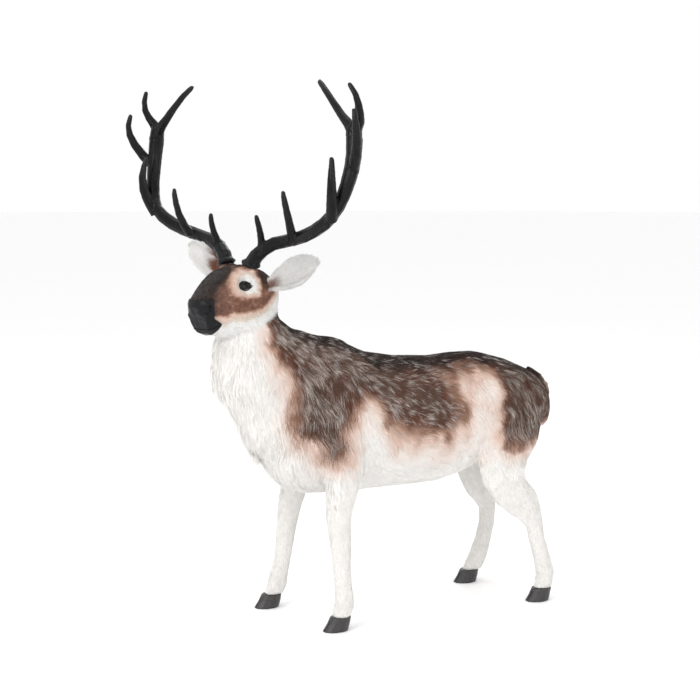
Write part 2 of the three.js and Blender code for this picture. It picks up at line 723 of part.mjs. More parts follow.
function eyelid() {
  const profile = [
    [EYE_RADIUS, lidBack],
    [lidRadius, lidBack],
    [lidRadius, lidSeat - LID_THICKNESS / 2],
    [lidOpening + LID_THICKNESS / 2, lidSeat + LID_THICKNESS],
    [lidOpening, lidSeat + LID_THICKNESS / 2],
  ].map(([radius, height]) => new THREE.Vector2(radius, height));
  const ring = new THREE.LatheGeometry([...profile, profile[0]], 12);
  ring.rotateX(Math.PI / 2);
  return solid(ring).subtract(eyeball(CLEARANCE));
}

// The hole that the eyeball and its lid take in the head.
const eyeHollow = eyeball(CLEARANCE).add(
  post(lidRadius + CLEARANCE, lidRadius + CLEARANCE, lidBack - CLEARANCE, 2 * EYE_RADIUS));

// ---------------------------------------------------------------- ears

function earFrame(side) {
  const along = side > 0 ? EAR_WAYS.left : EAR_WAYS.right;
  const open = new THREE.Vector3(0, -1, 0.1);
  open.addScaledVector(along, -open.dot(along)).normalize();
  const across = along.clone().cross(open).normalize();
  const place = new THREE.Group();
  place.position.copy(EAR_ROOT).multiply(mirrored(side));
  place.quaternion.setFromRotationMatrix(new THREE.Matrix4().makeBasis(across, open.negate(), along));
  return place;
}

// A leaf with a hollow face, along +Z, open towards -Y.
function ear(gap) {
  const WIDTHS = [
    [0, 0.3], [0.12, 0.42], [0.3, 0.78], [0.5, 1], [0.68, 0.96], [0.84, 0.7], [0.95, 0.36], [1, 0.14],
  ];
  const curve = new THREE.CatmullRomCurve3(WIDTHS.map(([t, w]) => new THREE.Vector3(t, w, 0)));
  const [STEPS, ACROSS] = [8, 4];
  const rings = [];
  for (let i = 0; i <= STEPS; i++) {
    const { x: t, y: width } = curve.getPoint(i / STEPS);
    const half = (EAR_WIDTH / 2) * width;
    const cup = EAR_CUP * Math.sin(Math.PI * Math.min(t + 0.25, 1) * 0.8);
    const z = THREE.MathUtils.lerp(-gap, EAR_LENGTH + gap, t);
    const back = [];
    const face = [];
    for (let k = 0; k <= ACROSS; k++) {
      const u = (2 * k) / ACROSS - 1;
      const x = u * (half + gap);
      const bend = cup * (1 - (x / half) ** 2);
      const fat = (EAR_THICKNESS / 2) * (1 - 0.55 * u * u) + gap;
      back.push(new THREE.Vector3(x, bend + fat, z));
      face.unshift(new THREE.Vector3(x, bend - fat, z));
    }
    rings.push([...back, ...face]);
  }
  return loft(rings);
}

// ---------------------------------------------------------------- antlers

// In the antler's frame the peg runs down -Z. Its beam's points are given upright, so they
// are turned back by the lean of the pedicle.
function antlerPoint(side, [out, forward, up]) {
  const lean = new THREE.Vector3(0, 1, 0);
  return new THREE.Vector3(side * out, -forward, up).applyAxisAngle(lean, -side * PEDICLE_LEAN);
}

function antler(side) {
  const branch = (rows, sides, steps) => {
    const radii = rows.map(([, , , radius]) => radius * BEAM_SIZE);
    return taperedBar(rows.map((row) => antlerPoint(side, row)), radii, sides, steps);
  };
  const burr = new THREE.LatheGeometry([
    new THREE.Vector2(0, -BURR_HEIGHT / 2),
    new THREE.Vector2(BURR_RADIUS - 4, -BURR_HEIGHT / 2),
    new THREE.Vector2(BURR_RADIUS, 0),
    new THREE.Vector2(BURR_RADIUS - 3, BURR_HEIGHT / 2),
    new THREE.Vector2(0, BURR_HEIGHT / 2),
  ], 12);
  burr.rotateX(Math.PI / 2);
  return joined([
    solid(burr),
    branch(BEAM, 8, 18),
    ...TINES.map((tine) => branch(tine, 6, tine.length)),
  ])
    .subtract(post(BURR_RADIUS * 2, BURR_RADIUS * 2, -60, -BURR_HEIGHT / 2))
    .subtract(post(PEG_RADIUS + CLEARANCE, PEG_RADIUS + CLEARANCE, -60, PEG_ROOT - BURR_HEIGHT / 2, 12));
}

const peg = () =>
  post(PEG_RADIUS, PEG_RADIUS, -BURR_HEIGHT / 2 - PEG_REACH, PEG_ROOT - BURR_HEIGHT / 2 - CLEARANCE, 12);

const socketRadius = PEG_RADIUS + PEG_GAP + SOCKET_WALL;
const socketTop = -BURR_HEIGHT / 2 - 2 * CLEARANCE;
const socketBottom = -BURR_HEIGHT / 2 - PEG_REACH - PEG_GAP - SOCKET_WALL;

function socket(gap) {
  return post(socketRadius + gap, socketRadius + gap, socketBottom - gap, socketTop + (gap ? 20 : 0));
}
const socketHole = post(PEG_RADIUS + PEG_GAP, PEG_RADIUS + PEG_GAP, socketBottom + SOCKET_WALL, 20, 12);

// ---------------------------------------------------------------- tail

const TAIL = [
  [HIP_Y + 98, 288, HIP_Y + 84, 270, 14],
  [HIP_Y + 138, 262, HIP_Y + 110, 252, 24],
  [HIP_Y + 160, 218, HIP_Y + 126, 216, 27],
  [HIP_Y + 162, 170, HIP_Y + 132, 170, 25],
  [HIP_Y + 152, 125, HIP_Y + 132, 128, 17],
  [HIP_Y + 144, 104, HIP_Y + 134, 106, 9],
].map(([outY, outZ, inY, inZ, half]) => ({
  x: 0,
  half,
  top: yz(outY, BELLY_HEIGHT + outZ),
  bottom: yz(inY, BELLY_HEIGHT + inZ),
}));

// ---------------------------------------------------------------- the object

const FINISH = {
  darkFur: { color: 0x5d4b44, roughness: 0.95, metalness: 0 },
  whiteFur: { color: 0xece8e2, roughness: 0.95, metalness: 0 },
  foam: { color: 0xe9dfb8, roughness: 0.9, metalness: 0 },
  steel: { color: 0x8d9096, roughness: 0.4, metalness: 0.9 },
  rubber: { color: 0x17181a, roughness: 0.5, metalness: 0 },
  resin: { color: 0x16171a, roughness: 0.35, metalness: 0 },
  glass: { color: 0x050506, roughness: 0.05, metalness: 0 },
  plastic: { color: 0x2a2b2e, roughness: 0.6, metalness: 0 },
};

const reindeer = new THREE.Group();
const MOST_DUST = 1; // mm3: scraps that a cut leaves are smaller than this

// Adds a piece. A cut may leave scraps beside the piece, and only the piece is kept.
function add(parent, name, finish, body) {
  const parts = body.decompose().filter((part) => part.volume() > MOST_DUST);
  const whole = parts.reduce((most, part) => (part.volume() > most.volume() ? part : most));
  const mesh = new THREE.Mesh(geometryOf(whole), new THREE.MeshStandardMaterial(FINISH[finish]));
  mesh.name = name;
  parent.add(mesh);
}

const SIDES = [["left", 1], ["right", -1]];
const inHead = (body) => moved(body, head);

// Frame
add(reindeer, "spine_bar", "steel", [SHOULDER_Y, HIP_Y].reduce(
  (bar, y) => bar.subtract(frameBolt(y, CLEARANCE)), spineBar(0).subtract(spineHollow)));
for (const [name, y] of [["shoulder", SHOULDER_Y], ["hip", HIP_Y]]) {
  const rods = LEGS.filter((leg) => (leg.kind === "front") === (name === "shoulder"));
  add(reindeer, `${name}_crossbar`, "steel",
    rods.reduce((bar, leg) => bar.subtract(legRod(leg, CLEARANCE)), crossbar(y, 0))
      .subtract(frameBolt(y, CLEARANCE)));
  add(reindeer, `${name}_bolt`, "steel", frameBolt(y, 0));
}
add(reindeer, "neck_rod", "steel", neckRod(0));
add(reindeer, "head_plate", "steel", headPlate(0));
for (const leg of LEGS) {
  add(reindeer, `leg_rod_${leg.name}`, "steel", legRod(leg, 0));
  add(reindeer, `rod_nut_${leg.name}`, "steel", topNut(leg, 0).subtract(legRod(leg, CLEARANCE)));
  add(reindeer, `hoof_nut_${leg.name}`, "steel", soleNut(leg, 0).subtract(legRod(leg, CLEARANCE)));
}

// Foam forms
const trunkFoam = trunkOf(foam).subtract(frameHollows);
for (const [name, side] of SIDES) {
  const half = halfSpace(new THREE.Vector3((side * CLEARANCE) / 2, 0, 0), new THREE.Vector3(side, 0, 0));
  add(reindeer, `torso_form_${name}`, "foam", trunkFoam.intersect(half));
}
add(reindeer, "neck_form", "foam", neckOf(foam).subtract(frameHollows));
const faceHollows = joined(SIDES.flatMap(([, side]) => [
  moved(eyeHollow, eyePlace(side)),
  moved(ear(EAR_SLACK), earFrame(side)),
  moved(socket(CLEARANCE), antlerPlace(side)),
]));
const nose = joined([muzzleSpace(CLEARANCE), lipSpace(CLEARANCE)]);
add(reindeer, "head_form", "foam",
  headOf(foam).subtract(inHead(nose.subtract(noseCore)))
    .subtract(frameHollows).subtract(inHead(faceHollows)));
for (const leg of LEGS) {
  add(reindeer, `leg_form_${leg.name}`, "foam", legOf(foam, leg).subtract(frameHollows));
}

// Fur cover
add(reindeer, "torso_fur", "darkFur", trunkOf(fur));
add(reindeer, "mane_fur", "whiteFur", neckOf(fur));
add(reindeer, "head_fur", "darkFur", headOf(fur).subtract(inHead(joined([nose, faceHollows]))));
for (const leg of LEGS) {
  add(reindeer, `leg_fur_${leg.name}`, "whiteFur", legOf(fur, leg));
}
add(reindeer, "tail", "darkFur",
  bodyPart(TAIL, { sides: 12, steps: 10 }).subtract(animal(0, -CLEARANCE)));

// Hooves
for (const leg of LEGS) add(reindeer, `hoof_${leg.name}`, "resin", hoof(leg));

// Face
add(head, "muzzle", "rubber",
  mouldedNose.intersect(muzzleSpace(0)).subtract(nostril(1)).subtract(nostril(-1)));
add(head, "lower_lip", "rubber", mouldedNose.intersect(lipSpace(0)));
for (const [name, side] of SIDES) {
  const eye = eyePlace(side);
  add(eye, `eye_${name}`, "glass", eyeball(0));
  add(eye, `eyelid_${name}`, "rubber", eyelid());
  const earGroup = earFrame(side);
  add(earGroup, `ear_${name}`, "whiteFur", ear(0));
  const antlerGroup = antlerPlace(side);
  add(antlerGroup, `antler_${name}`, "resin", antler(side));
  add(antlerGroup, `antler_peg_${name}`, "steel", peg());
  add(antlerGroup, `antler_socket_${name}`, "plastic", socket(0).subtract(socketHole));
  head.add(eye, earGroup, antlerGroup);
}
reindeer.add(head);

// The part's origin is on the ground, under the middle of its outer box.
const group = new THREE.Group();
group.add(reindeer);
group.updateMatrixWorld(true);
const size = new THREE.Box3().setFromObject(group, true);
const middle = size.getCenter(new THREE.Vector3());
reindeer.position.set(-middle.x, -middle.y, -size.min.z);

export default group;
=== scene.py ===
"""Looks of a life-size standing reindeer figure: faux-fur coat, resin antlers and hooves, moulded face."""

import itertools
import json
import math

import bmesh
import bpy
import numpy as np
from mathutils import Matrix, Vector
from mathutils.bvhtree import BVHTree


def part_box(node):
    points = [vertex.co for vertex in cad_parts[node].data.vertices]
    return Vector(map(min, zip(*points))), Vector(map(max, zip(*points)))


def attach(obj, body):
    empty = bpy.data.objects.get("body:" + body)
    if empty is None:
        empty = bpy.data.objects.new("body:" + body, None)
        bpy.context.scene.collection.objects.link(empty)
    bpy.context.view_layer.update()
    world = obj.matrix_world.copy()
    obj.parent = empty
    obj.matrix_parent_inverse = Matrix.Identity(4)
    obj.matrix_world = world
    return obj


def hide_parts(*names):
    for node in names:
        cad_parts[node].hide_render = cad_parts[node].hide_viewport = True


bl_info = {
    "name": "Standing Reindeer",
    "version": (1, 0, 0),
    "blender": (4, 5, 0),
    "location": "3D View > Sidebar > Reindeer",
    "description": "Builds the coat, face, antlers and hooves of a standing reindeer figure",
    "category": "Add Mesh",
}

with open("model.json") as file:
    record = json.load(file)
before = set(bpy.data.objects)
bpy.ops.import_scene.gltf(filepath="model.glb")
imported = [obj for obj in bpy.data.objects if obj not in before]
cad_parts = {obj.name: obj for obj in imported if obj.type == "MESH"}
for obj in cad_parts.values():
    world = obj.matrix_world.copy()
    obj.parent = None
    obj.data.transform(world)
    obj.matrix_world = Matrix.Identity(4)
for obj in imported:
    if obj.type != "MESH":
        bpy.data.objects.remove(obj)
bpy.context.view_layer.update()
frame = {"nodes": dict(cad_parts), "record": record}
MM = 0.001
SIDES = ("left", "right")

# ------------------------------------------------------------------ places read from the frame


def middle_of(node):
    low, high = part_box(node)
    return np.array((low + high) / 2)


EYE_IN_HEAD = np.array([45, -30, 865]) * MM  # the left eye's middle in the head's own frame
BURR_IN_HEAD = np.array([46, -5, 919]) * MM
EYE_RADIUS = (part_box("eye_left")[1].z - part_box("eye_left")[0].z) / 2
OPENING = np.array([13.5, 18.5, 10.5]) * MM  # the eye's opening: forward, rearward, up and down
MUZZLE_REAR, MUZZLE_TOP = -117, 839  # edges of the moulded muzzle in the head's frame, in mm
MIDDLE_X = middle_of("spine_bar")[0]  # the animal's plane of symmetry


def head_frame():
    """The turn of the head about Z as a 3x3 matrix, and the origin of its frame."""
    left, right = middle_of("eye_left"), middle_of("eye_right")
    across = (left - right) * [1, 1, 0]
    across /= np.linalg.norm(across)
    turn = np.array([across, [-across[1], across[0], 0], [0, 0, 1]]).T
    origin = (left + right) / 2 - turn @ (EYE_IN_HEAD * [0, 1, 1])
    return turn, origin


HEAD_TURN, HEAD_ORIGIN = head_frame()


def to_head(points):
    return (points - HEAD_ORIGIN) @ HEAD_TURN


def from_head(points):
    return points @ HEAD_TURN.T + HEAD_ORIGIN


# ------------------------------------------------------------------ random numbers and noise


def hashed(cells, seed):
    """A repeatable number from 0 to 1 for each row of three whole numbers."""
    c = np.floor(cells).astype(np.int64).view(np.uint64)
    with np.errstate(over="ignore"):
        h = c[:, 0] * np.uint64(0x9E3779B97F4A7C15) ^ c[:, 1] * np.uint64(0xC2B2AE3D27D4EB4F)
        h ^= c[:, 2] * np.uint64(0x165667B19E3779F9) ^ np.uint64(0x27D4EB2F165667C5) * np.uint64(seed + 1)
        for shift, factor in ((33, 0xFF51AFD7ED558CCD), (29, 0xC4CEB9FE1A85EC53), (32, 0x9E3779B1)):
            h ^= h >> np.uint64(shift)
            h *= np.uint64(factor)
        h ^= h >> np.uint64(31)
    return (h >> np.uint64(11)).astype(float) / 2**53


def ripple(points, scale, seed):
    """Smooth random values from -1 to 1 that change over about scale."""
    place = points / scale
    base = np.floor(place)
    share = place - base
    share = share * share * (3 - 2 * share)
    total = np.zeros(len(points))
    for corner in itertools.product((0, 1), repeat=3):
        weight = np.prod(np.where(corner, share, 1 - share), axis=1)
        total += weight * hashed(base + corner, seed)
    return 2 * total - 1


def smoothstep(low, high, value):
    t = np.clip((value - low) / (high - low), 0, 1)
    return t * t * (3 - 2 * t)


def unit(vectors):
    return vectors / np.maximum(np.linalg.norm(vectors, axis=-1, keepdims=True), 1e-12)


def linear(hex_colour):
    """An sRGB colour in hex, as linear light."""
    srgb = np.array([int(hex_colour[i : i + 2], 16) / 255 for i in (0, 2, 4)])
    return np.where(srgb <= 0.04045, srgb / 12.92, ((srgb + 0.055) / 1.055) ** 2.4)


# ------------------------------------------------------------------ meshes


def arrays_of(mesh):
    """Vertex places and triangles of a mesh."""
    mesh.calc_loop_triangles()
    points = np.empty(len(mesh.vertices) * 3, np.float32)
    mesh.vertices.foreach_get("co", points)
    triangles = np.empty(len(mesh.loop_triangles) * 3, np.int32)
    mesh.loop_triangles.foreach_get("vertices", triangles)
    return points.reshape(-1, 3).astype(float), triangles.reshape(-1, 3)


def normals_of(points, triangles):
    a, b, c = (points[triangles[:, i]] for i in range(3))
    faces = np.cross(b - a, c - a)
    total = np.zeros_like(points)
    for i in range(3):
        for axis in range(3):
            total[:, axis] += np.bincount(triangles[:, i], faces[:, axis], len(points))
    return unit(total)


def new_object(name, mesh, material=None, smooth=True):
    obj = bpy.data.objects.new(name, mesh)
    bpy.context.scene.collection.objects.link(obj)
    if material:
        mesh.materials.clear()
        mesh.materials.append(material)
    mesh.polygons.foreach_set("use_smooth", [smooth] * len(mesh.polygons))
    return obj


def mesh_from(points, faces):
    mesh = bpy.data.meshes.new("shape")
    mesh.from_pydata([tuple(p) for p in points], [], [tuple(int(i) for i in f) for f in faces])
    mesh.validate()
    return mesh


def joined_nodes(names):
    """One mesh that holds copies of several CAD nodes."""
    points, faces, count = [], [], 0
    for name in names:
        node_points, node_faces = arrays_of(frame["nodes"][name].data)
        points.append(node_points)
        faces.append(node_faces + count)
        count += len(node_points)
    return mesh_from(np.concatenate(points), np.concatenate(faces))


def with_modifier(mesh, kind, **settings):
    """The mesh that a modifier makes of this mesh."""
    carrier = bpy.data.objects.new("carrier", mesh)
    bpy.context.scene.collection.objects.link(carrier)
    modifier = carrier.modifiers.new("make", kind)
    for key, value in settings.items():
        setattr(modifier, key, value)
    bpy.context.view_layer.update()
    made = bpy.data.meshes.new_from_object(carrier.evaluated_get(bpy.context.evaluated_depsgraph_get()))
    bpy.data.objects.remove(carrier)
    bpy.data.meshes.remove(mesh)
    return made


def edges_of(mesh):
    edges = np.empty(len(mesh.edges) * 2, np.int32)
    mesh.edges.foreach_get("vertices", edges)
    return edges.reshape(-1, 2)


def largest_shell(mesh):
    """Drops every separate bit of a mesh but the one with the most vertices."""
    edges = edges_of(mesh)
    label = np.arange(len(mesh.vertices))
    while True:
        low = np.minimum(label[edges[:, 0]], label[edges[:, 1]])
        before = label.copy()
        np.minimum.at(label, edges[:, 0], low)
        np.minimum.at(label, edges[:, 1], low)
        label = label[label]
        if (label == before).all():
            break
    keep = label == np.bincount(label).argmax()
    if keep.all():
        return mesh
    places = np.array([v.co for v in mesh.vertices])
    renumber = np.cumsum(keep) - 1
    faces = [[renumber[i] for i in f.vertices] for f in mesh.polygons if keep[f.vertices[0]]]
    bpy.data.meshes.remove(mesh)
    return mesh_from(places[keep], faces)


def evened(points, edges, rounds, shrink=0.5, grow=-0.52):
    """Smooths facets away without making the shape thinner."""
    degree = np.bincount(edges.ravel(), minlength=len(points))[:, None]
    for _ in range(rounds):
        for step in (shrink, grow):
            total = np.empty_like(points)
            for axis in range(3):
                total[:, axis] = np.bincount(edges[:, 0], points[edges[:, 1], axis], len(points))
                total[:, axis] += np.bincount(edges[:, 1], points[edges[:, 0], axis], len(points))
            points = points + step * (total / degree - points)
    return points


def put_points(mesh, points):
    mesh.vertices.foreach_set("co", points.astype(np.float32).ravel())
    mesh.update()


def paint(mesh, colours, name="dye"):
    """Stores a linear colour at each vertex."""
    layer = mesh.attributes.get(name) or mesh.attributes.new(name, "FLOAT_COLOR", "POINT")
    rgba = np.ones((len(colours), 4), np.float32)
    rgba[:, :3] = colours
    layer.data.foreach_set("color", rgba.ravel())


def tint_value(mesh, values, name):
    layer = mesh.attributes.new(name, "FLOAT", "POINT")
    layer.data.foreach_set("value", values.astype(np.float32))


def remeshed_nodes(names, voxel, rounds):
    """CAD nodes fused into one even skin, with their facets smoothed."""
    mesh = with_modifier(joined_nodes(names), "REMESH", mode="VOXEL", voxel_size=voxel)
    mesh = largest_shell(mesh)
    points, _ = arrays_of(mesh)
    put_points(mesh, evened(points, edges_of(mesh), rounds))
    return mesh


# ------------------------------------------------------------------ shader nodes


class Wire:
    """An output socket that can be used in sums."""

    def __init__(self, tree, socket):
        self.tree, self.socket = tree, socket

    def _math(self, operation, a, b):
        made = self.tree.nodes.new("ShaderNodeMath")
        made.operation = operation
        for socket, value in zip(made.inputs, (a, b)):
            if isinstance(value, Wire):
                self.tree.links.new(value.socket, socket)
            else:
                socket.default_value = value
        return Wire(self.tree, made.outputs[0])

    def __add__(self, other):
        return self._math("ADD", self, other)

    def __radd__(self, other):
        return self._math("ADD", other, self)

    def __mul__(self, other):
        return self._math("MULTIPLY", self, other)

    def __rmul__(self, other):
        return self._math("MULTIPLY", other, self)


class Finish:
    """A material under construction."""

    def __init__(self, name):
        self.material = bpy.data.materials.new(name)
        self.material.use_nodes = True
        self.tree = self.material.node_tree
        self.shader = self.tree.nodes["Principled BSDF"]

    def node(self, kind, settings=None, output=0, **inputs):
        """Adds a node of this type with its settings, and its sockets' values or links."""
        made = self.tree.nodes.new(kind)
        for key, value in (settings or {}).items():
            setattr(made, key, value)
        for key, value in inputs.items():
            socket = made.inputs[int(key[1:]) if key[1:].isdigit() else key.replace("_", " ")]
            if isinstance(value, Wire):
                self.tree.links.new(value.socket, socket)
            else:
                socket.default_value = value
        return Wire(self.tree, made.outputs[output])

    def place(self, scale=1.0, stretch=(1, 1, 1)):
        where = self.node("ShaderNodeTexCoord", output=3)
        size = tuple(scale * s for s in stretch)
        return self.node("ShaderNodeMapping", Vector=where, Scale=size)

    def noise(self, scale, detail=4.0, roughness=0.6, stretch=(1, 1, 1)):
        return self.node(
            "ShaderNodeTexNoise",
            Vector=self.place(1.0, stretch),
            Scale=scale,
            Detail=detail,
            Roughness=roughness,
        )

    def between(self, low, high, value):
        """0 below low, 1 above high."""
        return self.node("ShaderNodeMapRange", Value=value, i1=low, i2=high)

    def mixed(self, share, first, second, blend="MIX"):
        settings = {"data_type": "RGBA", "blend_type": blend}
        colours = {"i6": first, "i7": second}
        return self.node("ShaderNodeMix", settings, output=2, i0=share, **colours)

    def attribute(self, name, output=0):
        return self.node("ShaderNodeAttribute", {"attribute_name": name}, output=output)

    def bump(self, height, distance, strength=1.0):
        return self.node("ShaderNodeBump", Height=height, Distance=distance, Strength=strength)

    def finish(self, **sockets):
        for key, value in sockets.items():
            socket = self.shader.inputs[key.replace("_", " ")]
            if isinstance(value, Wire):
                self.tree.links.new(value.socket, socket)
            else:
                socket.default_value = value
        return self.material


def rgba(colour):
    return (*[float(c) for c in colour][:3], 1.0)


# ------------------------------------------------------------------ the coat's plan

# Where the coat is measured, in mm: out from the middle plane, y, z. Then the way it is
# combed (out, back, up), the hair's length in mm and how far it stands off the skin.
LAY = [
    ((30, -440, 725), (0.0, -0.10, -1.0), 34, 0.20),
    ((20, -440, 640), (0.0, -0.12, -1.0), 52, 0.26),
    ((20, -400, 530), (0.0, -0.02, -1.0), 58, 0.26),
    ((30, -330, 420), (0.0, 0.25, -1.0), 52, 0.22),
    ((95, -360, 650), (0.0, 0.08, -1.0), 50, 0.16),
    ((95, -285, 600), (0.0, 0.20, -1.0), 52, 0.13),
    ((75, -290, 480), (0.0, 0.15, -1.0), 56, 0.18),
    ((20, -275, 770), (0.2, 0.80, -0.55), 30, 0.12),
    ((60, -290, 725), (0.1, 0.50, -0.85), 34, 0.12),
    ((20, -150, 715), (0.2, 1.00, -0.20), 30, 0.07),
    ((75, -170, 665), (0.2, 0.70, -0.75), 38, 0.10),
    ((100, -180, 590), (0.1, 0.30, -1.0), 48, 0.12),
    ((110, -170, 500), (0.0, 0.12, -1.0), 56, 0.13),
    ((95, -190, 400), (0.0, 0.12, -1.0), 36, 0.14),
    ((20, -40, 680), (0.1, 1.00, -0.12), 32, 0.08),
    ((20, 200, 700), (0.1, 1.00, 0.02), 32, 0.08),
    ((85, -30, 620), (0.1, 0.90, -0.50), 34, 0.11),
    ((85, 130, 620), (0.1, 1.00, -0.25), 32, 0.12),
    ((110, 50, 540), (0.0, 0.90, -0.45), 32, 0.13),
    ((105, -60, 450), (0.0, 0.60, -0.80), 32, 0.12),
    ((105, 90, 440), (0.0, 0.80, -0.60), 32, 0.13),
    ((90, 0, 350), (-0.2, 0.75, -0.65), 26, 0.10),
    ((90, 180, 380), (-0.2, 0.80, -0.60), 24, 0.10),
    ((10, 0, 322), (0.0, 1.00, -0.15), 24, 0.10),
    ((30, 330, 695), (0.2, 0.90, -0.35), 34, 0.10),
    ((90, 260, 600), (0.05, 0.70, -0.70), 28, 0.12),
    ((100, 280, 500), (0.0, 0.45, -0.90), 26, 0.12),
    ((80, 390, 570), (0.1, 0.30, -1.0), 46, 0.10),
    ((105, 360, 480), (0.0, 0.10, -1.0), 46, 0.10),
    ((30, 480, 600), (0.1, 0.20, -1.0), 34, 0.04),
    ((40, 490, 480), (0.1, -0.10, -1.0), 30, 0.04),
    ((20, 430, 660), (0.1, 0.60, -0.7), 30, 0.05),
    ((100, 350, 400), (0.0, 0.20, -1.0), 20, 0.12),
    ((70, 440, 400), (0.0, 0.15, -1.0), 20, 0.12),
    ((60, 240, 380), (-0.2, 0.50, -0.80), 20, 0.14),
    ((100, -150, 290), (0.0, 0.10, -1.0), 15, 0.12),
    ((100, -190, 150), (0.0, 0.05, -1.0), 10, 0.11),
    ((95, 380, 310), (0.0, 0.20, -1.0), 15, 0.12),
    ((95, 420, 180), (0.0, 0.00, -1.0), 10, 0.11),
    ((100, -200, 50), (0.0, 0.0, -1.0), 12, 0.16),
    ((100, 400, 50), (0.0, 0.0, -1.0), 12, 0.16),
]

# The same on the head, in the head's own frame.
HEAD_LAY = [
    ((0, -118, 868), (0.0, 1.0, 0.30), 6, 0.14),
    ((0, -90, 893), (0.0, 1.0, 0.20), 7, 0.12),
    ((0, -30, 916), (0.0, 1.0, 0.0), 9, 0.14),
    ((0, 40, 905), (0.0, 0.9, -0.3), 14, 0.14),
    ((46, -105, 825), (0.2, 0.9, -0.1), 6, 0.12),
    ((52, -75, 812), (0.2, 0.9, -0.35), 8, 0.13),
    ((66, -20, 810), (0.0, 0.9, -0.45), 10, 0.14),
    ((68, 20, 830), (0.0, 0.9, -0.45), 12, 0.14),
    ((66, 45, 800), (0.0, 0.6, -0.8), 20, 0.16),
    ((50, -60, 765), (0.0, 0.9, -0.35), 10, 0.14),
    ((10, -80, 748), (0.0, 0.9, -0.35), 10, 0.14),
    ((20, 0, 738), (0.0, 0.6, -0.8), 20, 0.18),
    ((60, 10, 760), (0.0, 0.5, -0.85), 20, 0.16),
    ((30, 80, 860), (0.0, 0.5, -0.9), 20, 0.14),
    ((55, 25, 895), (0.3, 0.8, -0.2), 10, 0.14),
]

# The edge of the brown saddle over the nape, shoulder, back, flank and rump, as y, z in mm.
SADDLE = [
    (-345, 850), (-338, 800), (-330, 776), (-326, 742), (-312, 720), (-304, 696), (-302, 672),
    (-286, 649), (-272, 608), (-268, 570), (-278, 545), (-262, 505), (-255, 485), (-244, 500),
    (-231, 479), (-211, 448), (-188, 438), (-173, 425), (-153, 434), (-143, 493), (-138, 524),
    (-125, 527), (-116, 556), (-93, 578), (-75, 593), (-53, 569), (-38, 530), (2, 511),
    (27, 492), (86, 477), (149, 475), (183, 505), (199, 538), (188, 563), (165, 587),
    (156, 611), (207, 628), (259, 629), (294, 623), (310, 603), (324, 577), (316, 536),
    (319, 494), (323, 434), (335, 420), (354, 447), (363, 418), (388, 432), (415, 438),
    (440, 448), (470, 456), (500, 470), (560, 480), (600, 760), (0, 820), (-200, 860),
]
# Along this line the saddle turns nearly black towards the spine.
SPINE_LINE = [
    (-340, 830), (-308, 790), (-269, 752), (-225, 716), (-136, 700), (-83, 676), (-33, 646), (25, 634),
    (86, 632), (150, 636), (211, 640), (268, 638), (325, 628), (366, 612), (420, 600), (540, 590),
]

# On the side of the head, as y and z in mm in the head's own frame: the white patch round
# the eye, and the lower edge of the brown mask, which runs from the muzzle to behind the ear.
EYE_PATCH = [
    (-58, 870), (-53, 889), (-34, 903), (-16, 902), (0, 884), (5, 864), (0, 846), (-28, 841), (-54, 851),
]
MASK_EDGE = [
    (-160, 785), (-113, 797), (-83, 795), (-64, 804), (-26, 805), (4, 811), (29, 823), (42, 838),
    (60, 858), (90, 880),
]

DYES = {
    "white": linear("faf8f5"),
    "cream": linear("e2d3c4"),
    "peach": linear("e9cfc1"),
    "tan": linear("b8917c"),
    "sienna": linear("71483a"),
    "rust": linear("5e3629"),
    "umber": linear("3a2a24"),
    "brown": linear("6a5246"),
    "black": linear("1d1818"),
    "blush": linear("f6ebe4"),
    "frost": linear("efe2da"),
}


SOFT_REACH = 12.0  # mm
FALLOFF = 2.5


def side_places(points):
    """Points as mm out from the animal's middle plane, y and z."""
    return np.column_stack([np.abs(points[:, 0] - MIDDLE_X), points[:, 1], points[:, 2]]) / MM


def head_places(points):
    local = to_head(points) / MM
    local[:, 0] = np.abs(local[:, 0])
    return local


def shares(places, anchors):
    """How much each anchor counts at each place: less and less beyond SOFT_REACH."""
    gap = ((places[:, None, :] - np.array(anchors, float)[None]) ** 2).sum(-1) + SOFT_REACH**2
    weight = gap**-FALLOFF
    return weight / weight.sum(1, keepdims=True)


def lay_of(points, on_head):
    """The comb direction, hair length and stand-off at each point."""
    rows = HEAD_LAY if on_head else LAY
    places = head_places(points) if on_head else side_places(points)
    weight = shares(places, [row[0] for row in rows])
    way = weight @ np.array([row[1] for row in rows])
    length = weight @ np.array([row[2] for row in rows]) * MM
    lift = weight @ np.array([row[3] for row in rows])
    middle = HEAD_ORIGIN[0] if on_head else MIDDLE_X
    local = to_head(points)[:, 0] if on_head else points[:, 0] - middle
    way[:, 0] *= np.where(local >= 0, 1, -1)
    if on_head:
        way = way @ HEAD_TURN.T
    return unit(way), length, lift


def distance_inside(places, outline):
    """Distance in mm from an outline in y and z, positive inside it."""
    y, z = places[:, 1], places[:, 2]
    best = np.full(len(y), 1e9)
    inside = np.zeros(len(y), bool)
    corners = np.array(outline, float)
    for (y0, z0), (y1, z1) in zip(corners, np.roll(corners, -1, axis=0)):
        dy, dz = y1 - y0, z1 - z0
        t = np.clip(((y - y0) * dy + (z - z0) * dz) / (dy * dy + dz * dz), 0, 1)
        best = np.minimum(best, np.hypot(y - y0 - t * dy, z - z0 - t * dz))
        crosses = ((z0 > z) != (z1 > z)) & (y < dy * (z - z0) / (dz if dz else 1e-9) + y0)
        inside ^= crosses
    return np.where(inside, best, -best)


def ramped(value, stops):
    """A colour that runs through stops of (value, dye)."""
    at = [stop for stop, _ in stops]
    table = np.array([DYES[dye] for _, dye in stops])
    return np.column_stack([np.interp(value, at, table[:, i]) for i in range(3)])


